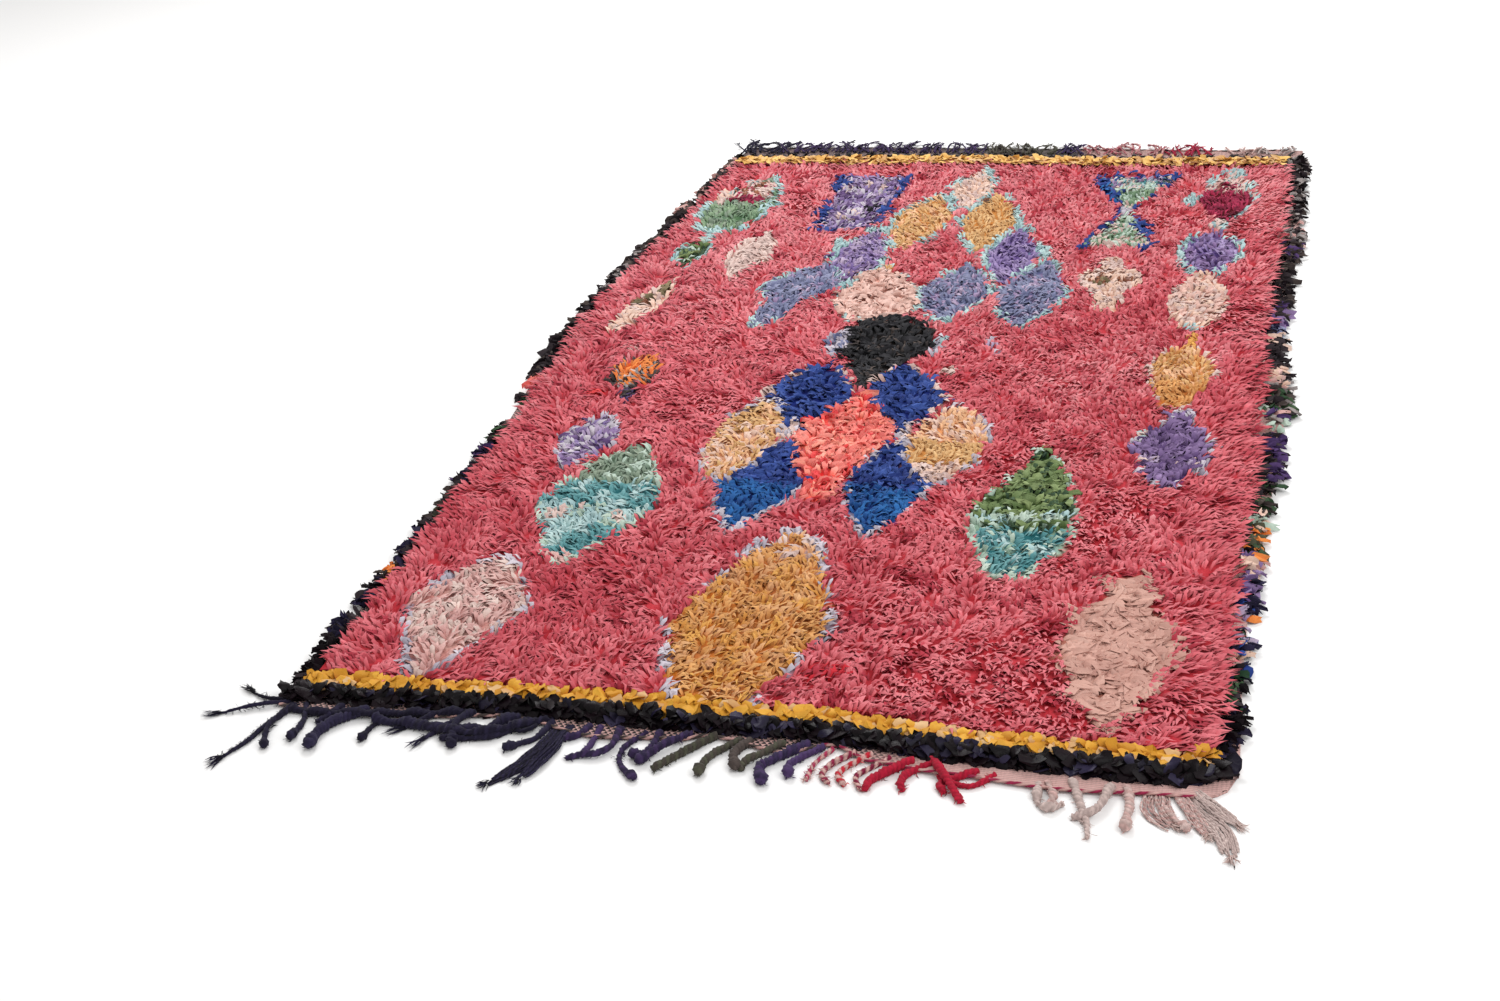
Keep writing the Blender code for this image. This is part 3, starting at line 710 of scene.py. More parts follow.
tuft_cloth = rag_material("cotton_rags", 0.85, 0.03, 0.22, 0.6, 0.16)
satin_cloth = rag_material("satin_lining_rags", 0.40, 0.0, 0.11, 0.4, 0.20)
petal_cloth = rag_material("broad_cotton_rags", 0.66, 0.02, 0.25, 0.4, 0.12)
side_cloth = rag_material("leftover_rags", 0.70, 0.0, 0.07, 0.5, 0.20)
bed_cloth = rag_material("shaded_pile_feet", 0.95, 0.0, 0.15, 0.9, 0.35)
cord_wool = rag_material("twisted_wool", 0.92, 0.04, 0.15, 0.9, 0.28)
print("rag materials:", *rag_cloths)

# %% [markdown]
# ## From arrays to one joined mesh
#
# There are tens of thousands of tufts, far too many to make one by one. They are worked out together
# instead, as arrays: a small pattern of points and triangles, repeated with a different place, turn,
# length and colour for each. This helper turns such arrays into a mesh. It also checks which way the
# triangles face, by the sign of the volume that they enclose, and turns them round if need be.

# %% Helper that writes a joined mesh
TRIANGLES_MOST = 200_000
made_pieces = {}


def joined_mesh(name, points, triangles, colours, material, crisp=60):
    """A new object of many closed shapes, from flat arrays, with a colour on each point.

    Folds sharper than crisp degrees keep their edge, and the rest is shaded round."""
    a, b, c = (points[triangles[:, corner]] for corner in range(3))
    if np.einsum("ij,ij->i", a, np.cross(b, c)).sum() < 0:
        triangles = triangles[:, ::-1]
    mesh = bpy.data.meshes.new(name)
    mesh.vertices.add(len(points))
    mesh.vertices.foreach_set("co", points.astype(np.float32).ravel())
    mesh.loops.add(triangles.size)
    mesh.loops.foreach_set("vertex_index", triangles.astype(np.int32).ravel())
    mesh.polygons.add(len(triangles))
    mesh.polygons.foreach_set("loop_start", np.arange(0, triangles.size, 3, dtype=np.int32))
    mesh.update(calc_edges=True)
    mesh.shade_smooth()
    mesh.set_sharp_from_angle(angle=math.radians(crisp))
    dye = mesh.color_attributes.new("dye", "FLOAT_COLOR", "POINT")
    full = np.ones((len(points), 4), np.float32)
    full[:, :3] = colours
    dye.data.foreach_set("color", full.ravel())
    mesh.materials.append(material)
    made = bpy.data.objects.new(name, mesh)
    scene.collection.objects.link(made)
    made_pieces[name] = made
    print(f"{name}: {len(triangles)} triangles")
    assert len(triangles) < TRIANGLES_MOST
    return made


def repeated(template, count, points_each):
    """The triangles of one shape, repeated for count shapes."""
    starts = np.arange(count)[:, None, None] * points_each
    return (template[None] + starts).reshape(-1, 3)


def joined(parts):
    """One set of arrays from several."""
    points, faces, colours, start = [], [], [], 0
    for some_points, some_faces, some_colours in parts:
        points.append(some_points)
        faces.append(some_faces + start)
        colours.append(some_colours)
        start += len(some_points)
    return np.concatenate(points), np.concatenate(faces), np.concatenate(colours)


print("each joined mesh stays under", TRIANGLES_MOST, "triangles")

# %% [markdown]
# ## The ground cloth
#
# Under the pile lies a plain woven cloth, and it shows at both ends, where the weaver wove a flat band
# to hold the last knots. It is one sheet about 4 mm thick. A grid is laid out between the edge tables
# and then thickened downwards. The near edge lifts a little in low waves, as a band that was
# woven tighter than the pile does, and its right corner is rounded.

# %% Lay out the ground cloth
CORNER_START, CORNER_WIDTH, CORNER_DEPTH = 0.640, 0.050, 0.062
CLOTH_CELLS = (110, 44)


def cloth_place(across, along):
    """(x, y) of the cloth for shares of 0 to 1, with more rows near the two ends."""
    eased = 0.5 - 0.5 * np.cos(np.pi * along)
    y = -1.30 + 2.60 * eased
    left, right = side_x("left_outer", y), side_x("right_outer", y)
    x = left + (right - left) * across
    low, high = near_y("cloth", x), far_y("cloth", x)
    y = low + (high - low) * eased
    into = np.clip((x - CORNER_START) / CORNER_WIDTH, 0, 1)
    cut = CORNER_DEPTH * (1 - np.sqrt(1 - into**2))
    y = np.maximum(y, low + cut * (1 - eased) ** 6)
    return x, y


shape = bmesh.new()
bmesh.ops.create_grid(shape, x_segments=CLOTH_CELLS[0], y_segments=CLOTH_CELLS[1], size=0.5)
shares = np.array([(v.co.x + 0.5, v.co.y + 0.5) for v in shape.verts])
cloth_x, cloth_y = cloth_place(shares[:, 0], shares[:, 1])
print("cloth is laid out on", len(cloth_x), "points")

# %% Lift its ends in low waves, and thicken it
WAVE_LIFT = 0.0035
from_edge = cloth_y - near_y("cloth", cloth_x)
from_far_edge = far_y("cloth", cloth_x) - cloth_y
near_wave = np.exp(-from_edge / 0.020) * (waves(cloth_x, cloth_y * 0, 0.050, 3.3) + 0.35)
far_wave = np.exp(-from_far_edge / 0.050) * (waves(cloth_x, cloth_y * 0, 0.070, 5.3) + 0.2)
lift = WAVE_LIFT * np.clip(near_wave + 0.6 * far_wave, 0, None)
for vert, x, y, up in zip(shape.verts, cloth_x, cloth_y, lift):
    vert.co = (x, y, CLOTH_THICKNESS + up)
raised = bmesh.ops.extrude_face_region(shape, geom=shape.faces[:], use_keep_orig=True)["geom"]
for item in raised:
    if isinstance(item, bmesh.types.BMVert):
        item.co.z = max(0.0, item.co.z - CLOTH_THICKNESS)
bmesh.ops.recalc_face_normals(shape, faces=shape.faces)
cloth_mesh = bpy.data.meshes.new("woven_ground")
shape.to_mesh(cloth_mesh)
shape.free()
cloth_mesh.shade_smooth()
woven_ground = bpy.data.objects.new("woven_ground", cloth_mesh)
scene.collection.objects.link(woven_ground)
print("ground cloth has", len(cloth_mesh.polygons), "faces")

# %% [markdown]
# The flat bands are weft-faced: the thick wefts hide the warps, so the cloth shows fine rows across,
# flecked where two yarns were woven together. At the near end the band is black and pale pink, and at
# its right plain dusty pink. At the far end it is a dusky violet brown, then umber, and at its right
# dusty pink again. Two sines make the near band's flecks, a step along the row and a row apart.

# %% Yarns and ribs of the ground cloth
PICK_ROW = 0.0054
PICK_STEP = 0.0090
ground_weave, place, shader = new_material("flat_weave", 0.9, 0.15)
x_at = place.through("ShaderNodeSeparateXYZ", Vector=place)
y_at = Wire(place.tree, x_at.socket.node.outputs[1])
flecks = place.through(
    "ShaderNodeTexNoise", Vector=place.stretched((240.0, 420.0, 240.0)), Scale=1.0, Detail=1.0
)
rows = place.through("ShaderNodeTexWave", settings=(("bands_direction", "Y"),), Vector=place, Scale=70.0)
ribs = place.through("ShaderNodeTexWave", settings=(("bands_direction", "X"),), Vector=place, Scale=55.0)
patches = place.through("ShaderNodeTexNoise", Vector=place, Scale=14.0, Detail=2.0)


def shade_of(name, share=0.6):
    colour = dyed(np.array([code(name)]), [share])[0]
    return (*colour.tolist(), 1.0)


def ramp(value, low, high):
    """0 below low and 1 above high."""
    return value.through(
        "ShaderNodeMapRange", Value=value, From_Min=low, From_Max=high, To_Min=0.0, To_Max=1.0
    )


print("one fleck every", PICK_STEP * 1000, "mm")

# %% Colours of the ground cloth
pink = place.through("ShaderNodeRGB")
pink.socket.default_value = shade_of("dusty_pink")
row_place = y_at * (1 / PICK_ROW) + patches * 1.2
odd = row_place.math("MODULO", row_place.math("FLOOR", row_place), 2.0)
dots = row_place.math("SINE", (x_at * (1 / PICK_STEP) + odd * 0.5) * (2 * math.pi))
gap = row_place.math("SINE", row_place * (2 * math.pi))
speckled = pink.mixed(shade_of("black", 0.6), ramp(dots + gap * 0.6 + flecks * 0.9 - 0.45, -0.20, 0.10))
plain = pink.mixed(shade_of("wine", 0.8), ramp(flecks + patches * 0.3, 0.86, 0.98) * 0.5)
near_cloth = speckled.mixed(plain, ramp(x_at, 0.18, 0.30))
dusk = pink.mixed(shade_of("umber", 0.9), 0.60)
violet = dusk.mixed(shade_of("ink", 0.6), ramp(flecks, 0.44, 0.54))
umber = violet.mixed(shade_of("umber", 0.9), ramp(x_at + patches * 0.05, -0.16, -0.10))
dusty = plain.mixed(shade_of("umber", 0.8), ramp(flecks + patches * 0.2, 0.50, 0.74) * 0.6)
far_pink = umber.mixed(dusty, ramp(x_at + patches * 0.05, 0.17, 0.22))
whole = near_cloth.mixed(far_pink, ramp(y_at, -0.2, 0.2))
# The rows also darken the colour between them: painted shade of the ribs, along the same rows as their bump.
shaded = whole.mixed((rows * 0.30 + 0.78).grey(), 1.0, "MULTIPLY")
place.join(shaded, shader.inputs["Base Color"])
raise_from(place, shader, rows * 0.7 + ribs * 0.5 + flecks * 0.4, 0.0011, 0.9)
cloth_mesh.materials.append(ground_weave)
print("flat weave has", len(place.tree.nodes), "nodes")

# %% [markdown]
# ## The bed of the pile
#
# Between the tufts one sees down into their shadowed feet. Modelling every foot would double the
# count, so a lumpy bed stands in for them: a slab under the tips, coloured with painted shade, a deep
# and saturated version of whatever dye grows there. It is a grid between the rose field's edges,
# thickened down to the cloth.

# %% Model the bed
BED_BELOW_TOP = 0.0080
BED_FOOT = CLOTH_THICKNESS + 0.0003
BED_CELLS = (84, 132)
BED_INSET = 0.003
chance = np.random.default_rng(11)  # one seeded source for every random draw


def field_place(across, along):
    y = -1.24 + 2.40 * along
    left, right = side_x("left_inner", y), side_x("right_inner", y)
    x = left + BED_INSET + (right - left - 2 * BED_INSET) * across
    return x, near_y("field", x) + (far_y("field", x) - near_y("field", x)) * along


shape = bmesh.new()
bmesh.ops.create_grid(shape, x_segments=BED_CELLS[0], y_segments=BED_CELLS[1], size=0.5)
shares = np.array([(v.co.x + 0.5, v.co.y + 0.5) for v in shape.verts])
bed_x, bed_y = field_place(shares[:, 0], shares[:, 1])
bed_z = pile_top(bed_x, bed_y) - BED_BELOW_TOP + chance.normal(0, 0.0008, len(bed_x))
for vert, x, y, z in zip(shape.verts, bed_x, bed_y, bed_z):
    vert.co = (x, y, z)
raised = bmesh.ops.extrude_face_region(shape, geom=shape.faces[:], use_keep_orig=True)["geom"]
for item in raised:
    if isinstance(item, bmesh.types.BMVert):
        item.co.z = BED_FOOT
shape.verts.index_update()
under = [f for f in shape.faces if max(v.co.z for v in f.verts) < BED_FOOT + 1e-5]
bmesh.ops.dissolve_faces(shape, faces=under, use_verts=False)
bmesh.ops.recalc_face_normals(shape, faces=shape.faces)
bed_mesh = bpy.data.meshes.new("pile_bed")
shape.to_mesh(bed_mesh)
shape.free()
print("bed has", len(bed_mesh.polygons), "faces")

# %% Dye the bed with painted shade
BED_SHADE_POWER = 1.70
BED_SHADE_GAIN = 1.22
bed_points = np.empty(len(bed_mesh.vertices) * 3)
bed_mesh.vertices.foreach_get("co", bed_points)
bed_points = bed_points.reshape(-1, 3)
bed_codes = charted(bed_points[:, 0], bed_points[:, 1], chance)
# Painted shade: each dye near its deep end, raised to a power, for the shadowed feet.
bed_shade_colours = np.ones((len(bed_points), 4))
bed_shade_colours[:, :3] = np.clip(BED_SHADE_GAIN * dyed(bed_codes, chance.random(len(bed_points)) * 0.7) ** BED_SHADE_POWER, 0, 1)
bed_mesh.color_attributes.new("dye", "FLOAT_COLOR", "POINT").data.foreach_set(
    "color", bed_shade_colours.ravel()
)
bed_mesh.materials.append(bed_cloth)
pile_bed = bpy.data.objects.new("pile_bed", bed_mesh)
scene.collection.objects.link(pile_bed)
print("bed has", len(np.unique(bed_codes)), "dyes")

# %% [markdown]
# ## One tuft, many times
#
# A tuft is the loose end of a rag strip: it comes up from the bed, folds over and lies down among its
# neighbours. A flat card would do from above, but it vanishes edge-on and has no fold. So each tuft is
# a closed strip with three sides, two broad ones meeting in the crease of the folded rag, and a slanted
# tip where the rag was cut. Ten triangles are enough for that, as the light on the crease does the rest.
#
# Light that reaches the foot of a tuft has bounced off its neighbours, so the foot looks deeper in
# colour and not just darker. Raising the colour to a power paints that shade into the foot's colour,
# and a power under one paints the tip a touch lighter. Towards the far end the pile lies flatter and
# shows less of its feet, so the power is eased there.

# %% Helper that makes tufts
TUFT_ALONG = np.array([0.0, 0.54, 1.0])
TUFT_BREADTH = np.array([0.74, 1.0])
TUFT_RISE = np.array([0.0, 0.96, 0.90])
# Powers and gains of the painted shade on a tuft's seven points: deep at the three of the root, slight at the middle,
# and a touch of painted light at the tip.
TUFT_SHADE_POWER = np.array([1.75, 1.75, 1.75, 1.06, 1.06, 1.06, 0.95])
TUFT_SHADE_GAIN = np.array([1.15, 1.15, 1.15, 1.02, 1.02, 1.02, 1.0])
PILE_MOST = 0.0385
TUFT_SIDES = 3
TIP_SLANT = 0.34
FLOOR_CLEARANCE = 0.0004
SHADE_EASED_FROM, SHADE_EASED_OVER, SHADE_EASED_SHARE = 0.3, 0.6, 0.45


def tuft_pattern():
    """The triangles of one tuft: a root and a middle of three points each, and a tip of one."""
    faces = [(0, 2, 1)]
    for a in range(TUFT_SIDES):
        b = (a + 1) % TUFT_SIDES
        faces += [(a, b, b + 3), (a, b + 3, a + 3), (a + 3, b + 3, 6)]
    return np.array(faces)


TUFT_FACES = tuft_pattern()
Tufts = namedtuple("Tufts", "x y z heading length breadth rise curl roll colour")


def tuft_arrays(tufts, rng, droop=0.0, crease=(0.08, 0.28)):
    """(points, triangles, colours) of many tufts. Droop lowers the tips."""
    count = len(tufts.x)
    mids = (TUFT_ALONG[1:] + TUFT_ALONG[:-1]) / 2
    turn = tufts.heading[:, None] + tufts.curl[:, None] * (mids - 0.4)
    stride = np.diff(TUFT_ALONG) * tufts.length[:, None]
    zero = np.zeros((count, 1))
    x = tufts.x[:, None] + np.hstack([zero, np.cumsum(np.cos(turn) * stride, 1)])
    y = tufts.y[:, None] + np.hstack([zero, np.cumsum(np.sin(turn) * stride, 1)])
    z = tufts.z[:, None] + tufts.rise[:, None] * TUFT_RISE - droop * TUFT_ALONG**2
    z[:, 1:] += rng.normal(0, 0.0010, (count, 2))
    spine = np.stack([x, y, z], -1)
    angle = tufts.heading[:, None] + tufts.curl[:, None] * (TUFT_ALONG - 0.4)
    side = np.stack([-np.sin(angle), np.cos(angle), np.zeros_like(angle)], -1)
    up = np.array([0.0, 0.0, 1.0])
    roll = (tufts.roll[:, None] * (0.3 + TUFT_ALONG))[..., None]
    across = side * np.cos(roll) + up * np.sin(roll)
    crown = up * np.cos(roll) - side * np.sin(roll)
    breadth = (tufts.breadth[:, None] * TUFT_BREADTH)[..., None]
    offset = rng.uniform(-0.3, 0.3, (count, 1, 1))
    fold = rng.uniform(*crease, (count, 1, 1))
    left = spine[:, :2] + across[:, :2] * breadth * 0.5
    right = spine[:, :2] - across[:, :2] * breadth * 0.5
    ridge = spine[:, :2] + across[:, :2] * breadth * offset + crown[:, :2] * breadth * fold
    slant = rng.uniform(-TIP_SLANT, TIP_SLANT, (count, 1)) * tufts.breadth[:, None]
    tip = spine[:, 2] + across[:, 2] * slant
    rings = np.stack([left, right, ridge], 2).reshape(count, 6, 3)
    points = np.concatenate([rings, tip[:, None]], 1)
    points[..., 2] = np.clip(points[..., 2], FLOOR_CLEARANCE, PILE_MOST)
    # Painted shade at the feet, eased towards the far end: the colour raised to a power.
    deeper = 1 - SHADE_EASED_SHARE * np.clip((tufts.y - SHADE_EASED_FROM) / SHADE_EASED_OVER, 0, 1)
    depth = 1 + (TUFT_SHADE_POWER - 1) * deeper[:, None]
    colours = TUFT_SHADE_GAIN[None, :, None] * tufts.colour[:, None, :] ** depth[:, :, None]
    return points.reshape(-1, 3), repeated(TUFT_FACES, count, 7), colours.reshape(-1, 3)


print("a tuft has", len(TUFT_FACES), "triangles")

# %% [markdown]
# ## The rose field and its lozenges
#
# Knots stand in rows, so the roots start on a grid with every other row moved by half a step, and each
# one strays a little. The pile doesn't lie all one way. It mostly leans towards the far end, outwards
# near the long edges, and it swirls where feet have turned it. In a trodden patch at the near right it
# lies the other way. The heading is the sum of these, and each tuft then adds a little of its own.
#
# The dye is read where the tuft's middle lies, not its root, since that is where the eye sees it.

# %% Roots of the tufts
TUFT_STEP = 0.0080
ROOT_STRAY = 0.0022
rows_y = np.arange(-1.276, 1.165, TUFT_STEP * 0.866)
columns_x = np.arange(-0.72, 0.68, TUFT_STEP)
root_x, root_y = np.meshgrid(columns_x, rows_y)
root_x = root_x + (np.arange(len(rows_y)) % 2)[:, None] * TUFT_STEP / 2
root_x, root_y = root_x.ravel(), root_y.ravel()
root_x = root_x + chance.normal(0, ROOT_STRAY, len(root_x))
root_y = root_y + chance.normal(0, ROOT_STRAY, len(root_y))
ragged = 0.010 * waves(root_x, root_y, 0.045, 3.9)
sparser = 0.20 * np.clip((root_y - 0.25) / 0.5, 0, 1)
left_in = 0.010 * np.clip((-0.80 - root_y) / 0.3, 0, 1)
right_in = 0.008 * np.clip((-0.45 - root_y) / 0.2, 0, 1)
grown = (
    (root_x > side_x("left_inner", root_y) + 0.002 + left_in + ragged)
    & (root_x < side_x("right_inner", root_y) + 0.002 - right_in + ragged)
    & (root_y > near_y("field", root_x) - 0.009)
    & (root_y < far_y("field", root_x) - 0.001)
    & (chance.random(len(root_x)) > sparser)
)
root_x, root_y = root_x[grown], root_y[grown]
count = len(root_x)
print(count, "tufts in the field")


# %% Which way the pile has fallen
EDGE_PULL = 1.9
EDGE_REACH = 0.09


def fallen(x, y, rng):
    """The heading of the pile at each place, in radians from +X."""
    middle = np.radians(90 - 40 * np.clip(x / 0.45, -1, 1))
    swirl = waves(x, y, 0.17, 2.2) * 3.0 + waves(x, y, 0.045, 6.1) * 2.8
    trodden = np.exp(-(((x - 0.32) / 0.24) ** 2) - ((y + 1.15) / 0.16) ** 2)
    own = rng.normal(0, 1, len(x)) * (0.58 - 0.26 * np.clip((abs(x) - 0.35) / 0.2, 0, 1))
    heading = middle + swirl + own - np.radians(150) * trodden
    from_left = x - side_x("left_inner", y)
    from_right = side_x("right_inner", y) - x
    left_pull = np.clip(1 - from_left / EDGE_REACH, 0, 1)
    right_pull = np.clip(1 - from_right / EDGE_REACH, 0, 1)
    flow_x = np.cos(heading) - EDGE_PULL * left_pull + EDGE_PULL * right_pull
    flow_y = np.sin(heading) + 0.25 * left_pull
    return np.arctan2(flow_y, flow_x)


heading = fallen(root_x, root_y, chance)
print("share of the pile that leans to the far end:", round(float((np.sin(heading) > 0).mean()), 2))

# %% Length, dye and breadth of every tuft
TUFT_LENGTHS = (0.016, 0.029)
TUFT_BREADTHS = (0.0036, 0.0070)
TUFT_RISES = (0.0050, 0.0115)
ROOTS_BELOW_TOP = 0.0100
SEEN_SHARE = 0.45
BROAD_DYES = {
    "blush": 1.6, "powder": 1.4, "cream": 1.4, "bone": 1.3, "olive": 1.5, "coral": 1.3, "mint": 1.2,
    "royal": 1.3, "sea_blue": 1.2, "leaf": 1.3, "soot": 1.4, "purple": 1.3, "slate": 1.2, "frost": 1.2,
}

length = chance.uniform(*TUFT_LENGTHS, count)
length *= 1 + 0.22 * np.clip(-root_x / 0.5, -1, 1) + 0.50 * np.clip((root_x - 0.50) / 0.12, 0, 1)
seen_x = root_x + np.cos(heading) * length * SEEN_SHARE
seen_y = root_y + np.sin(heading) * length * SEEN_SHARE
codes = charted(seen_x, seen_y, chance)
length *= 1 - 0.15 * np.clip((root_y - 0.25) / 0.5, 0, 1)
breadth = chance.uniform(*TUFT_BREADTHS, count) * np.where(chance.random(count) < 0.22, 1.5, 1.0)
for name, wider in BROAD_DYES.items():
    breadth = np.where(codes == code(name), breadth * wider, breadth)
rose = np.isin(codes, [code("rose"), code("rose_pink"), code("crimson_rag")])
own_shade = chance.normal(0.52, 0.17, count) + waves(root_x, root_y, 0.045, 8.8) * 0.7
own_shade = np.clip(own_shade + rose_fade(root_x, root_y) * rose, 0, 1.1)
tone = np.clip(chance.normal(1.0, 0.05, count), 0.85, 1.15)
field = Tufts(
    x=root_x,
    y=root_y,
    z=pile_top(root_x, root_y) - ROOTS_BELOW_TOP,
    heading=heading,
    length=length,
    breadth=breadth,
    rise=chance.uniform(*TUFT_RISES, count),
    curl=chance.normal(0, 0.9, count),
    roll=chance.normal(0, 0.34, count),
    colour=dyed(codes, own_shade) * tone[:, None],
)
print("share of rose tufts:", round(float(rose.mean()), 2))

# %% [markdown]
# Some lozenges were knotted with wide rags. One root in a few there bears a broad flap, made further
# down, and more than half of the narrow strips are left out. The table says how many roots bear one,
# and how big the flaps are. The tufts are then made in five pieces by place, because one piece would be
# too heavy.

# %% Mark the broad rags
LEFT_OUT, LEFT_OUT_OF_BLUSH = 0.6, 0.9
BroadRag = namedtuple("BroadRag", "dye one_in breadth length rise")
BROAD_RAGS = (
    BroadRag("blush", 1.6, (0.014, 0.023), (0.030, 0.046), 0.0095),
    BroadRag("coral", 3.0, (0.008, 0.013), (0.020, 0.030), 0.0125),
    BroadRag("salmon", 3.0, (0.008, 0.013), (0.020, 0.030), 0.0125),
    BroadRag("hot_red", 3.0, (0.007, 0.010), (0.018, 0.026), 0.0120),
    BroadRag("leaf", 3.2, (0.010, 0.016), (0.020, 0.030), 0.0120),
    BroadRag("soot", 3.4, (0.009, 0.015), (0.020, 0.032), 0.0120),
    BroadRag("purple", 3.4, (0.008, 0.014), (0.020, 0.030), 0.0120),
    BroadRag("royal", 4.0, (0.008, 0.013), (0.020, 0.030), 0.0120),
    BroadRag("powder", 4.0, (0.009, 0.015), (0.020, 0.032), 0.0120),
)
broad = np.zeros(count, bool)
thinned = np.zeros(count, bool)
broad_breadth, broad_length, broad_rise = np.zeros(count), np.zeros(count), np.zeros(count)
for rag in BROAD_RAGS:
    mine = codes == code(rag.dye)
    broad |= mine & (chance.random(count) < 1 / rag.one_in)
    thinned |= mine & (chance.random(count) < (LEFT_OUT_OF_BLUSH if rag.dye == "blush" else LEFT_OUT))
    broad_breadth[mine] = chance.uniform(*rag.breadth, mine.sum())
    broad_length[mine] = chance.uniform(*rag.length, mine.sum())
    broad_rise[mine] = rag.rise * chance.uniform(0.7, 1.05, mine.sum())
broad_field = field._replace(length=broad_length, breadth=broad_breadth, rise=broad_rise)
print(int(broad.sum()), "broad rags")


# %% Make the field's tufts
MIDDLE_FROM, MIDDLE_TO = -0.42, 0.42
LOZENGES_FAR_FROM = 0.10


def part_of(tufts, kept):
    return Tufts(*(column[kept] for column in tufts))


zones = {
    "rose_tufts_near": rose & (root_y < MIDDLE_FROM),
    "rose_tufts_middle": rose & (root_y >= MIDDLE_FROM) & (root_y < MIDDLE_TO),
    "rose_tufts_far": rose & (root_y >= MIDDLE_TO),
    "lozenge_tufts_near": ~rose & ~thinned & (root_y < LOZENGES_FAR_FROM),
    "lozenge_tufts_far": ~rose & ~thinned & (root_y >= LOZENGES_FAR_FROM),
}
for name, kept in zones.items():
    joined_mesh(name, *tuft_arrays(part_of(field, kept), chance), tuft_cloth)

# %% [markdown]
# ## Broad rags
#
# The yellow and black rows at each end are knotted with strips two or three fingers wide, and so are
# parts of the lozenges. Such strips crumple into rounded flaps. One flap is a small grid of four by four
# points with a back, bent over along its length and puckered across. Like the tufts they are repeated
# as arrays.

# %% Helper that makes flaps
FLAP_ACROSS = np.array([-1.0, -0.36, 0.36, 1.0])
FLAP_ALONG = np.array([0.0, 0.36, 0.74, 1.0])
FLAP_BREADTH = np.array([0.48, 0.96, 0.94, 0.40])
FLAP_RISE = np.array([0.0, 0.85, 1.0, 1.0])
# Powers of the painted shade on each row of a flap's points: deep at the root, a touch of painted light at the end.
FLAP_SHADE_POWER = np.array([1.5, 1.08, 1.0, 0.97])
FLAP_THICKNESS = 0.0010


def flap_pattern():
    """The triangles of one flap: a top of four by four points, the same below, and a rim."""
    faces = []
    for i in range(3):
        for j in range(3):
            a, b, c, d = i * 4 + j, i * 4 + j + 1, (i + 1) * 4 + j + 1, (i + 1) * 4 + j
            faces += [(a, b, c), (a, c, d), (a + 16, c + 16, b + 16), (a + 16, d + 16, c + 16)]
    rim = [0, 1, 2, 3, 7, 11, 15, 14, 13, 12, 8, 4]
    for a, b in zip(rim, rim[1:] + rim[:1]):
        faces += [(a, a + 16, b + 16), (a, b + 16, b)]
    return np.array(faces)


FLAP_FACES = flap_pattern()


def flap_arrays(flaps, rng, droop=0.0, pucker=0.0022, crumple=0.0008):
    """(points, triangles, colours) of many flaps, from the same columns as tufts."""
    count = len(flaps.x)
    along, across = np.meshgrid(FLAP_ALONG, FLAP_ACROSS, indexing="ij")
    breadth = np.repeat(FLAP_BREADTH[:, None], 4, 1)
    ragged = 1 + rng.uniform(-0.20, 0.20, (count, 4, 4))
    wide = across * breadth * ragged * flaps.breadth[:, None, None] / 2
    reach = along * flaps.length[:, None, None]
    reach = reach * (1 + rng.uniform(-0.16, 0.16, (count, 4, 4)) * (along > 0))
    phase = rng.uniform(0, 2 * np.pi, (count, 1, 1))
    folds = rng.uniform(0.7, 1.6, (count, 1, 1))
    z = flaps.rise[:, None, None] * np.repeat(FLAP_RISE[:, None], 4, 1) - droop * along**2
    z = z + pucker * np.sin(across * np.pi * folds + phase) * (0.3 + along)
    z = z + across * np.sin(flaps.roll)[:, None, None] * flaps.breadth[:, None, None] * 0.32
    z = z + rng.normal(0, crumple, z.shape) * (along > 0)
    bend = flaps.curl[:, None, None] * along
    angle = flaps.heading[:, None, None] + bend
    x = flaps.x[:, None, None] + reach * np.cos(angle) - wide * np.sin(angle)
    y = flaps.y[:, None, None] + reach * np.sin(angle) + wide * np.cos(angle)
    z = flaps.z[:, None, None] + z
    top = np.stack([x, y, z], -1).reshape(count, 16, 3)
    below = top - np.array([0.0, 0.0, FLAP_THICKNESS])
    points = np.concatenate([top, below], 1)
    points[:, 16:, 2] = np.maximum(points[:, 16:, 2], FLOOR_CLEARANCE)
    points[:, :16, 2] = np.clip(points[:, :16, 2], FLOOR_CLEARANCE + FLAP_THICKNESS, PILE_MOST)
    # Painted shade at the flap's root, a touch of painted light at its end.
    depth = np.tile(np.repeat(FLAP_SHADE_POWER, 4), 2)
    colours = flaps.colour[:, None, :] ** depth[None, :, None]
    return points.reshape(-1, 3), repeated(FLAP_FACES, count, 32), colours.reshape(-1, 3)


print("a flap has", len(FLAP_FACES), "triangles")

# %% Model the broad rags of the lozenges
smooth = broad & (codes == code("blush"))
flat_field = broad_field._replace(roll=broad_field.roll * 0.4)
parts = [
    flap_arrays(part_of(flat_field, smooth), chance, 0.002, 0.0016, 0.0004),
    flap_arrays(part_of(broad_field, broad & ~smooth), chance, 0.002),
]
joined_mesh("broad_lozenge_rags", *joined(parts), tuft_cloth, crisp=50)

# %% [markdown]
# ## Yellow and black rows
#
# Each row of flaps stands on a few lines across the rug. The near yellow row has three: one whose flaps
# lean into the field and two whose flaps lean out over the black. The far one has a fourth, which
# closes it towards the field. The near black row has four, and the outermost hangs down over the
# flat-woven band. The far one has the first three. At the near right, where the cloth's corner is
# round, the lines bend inwards with it.

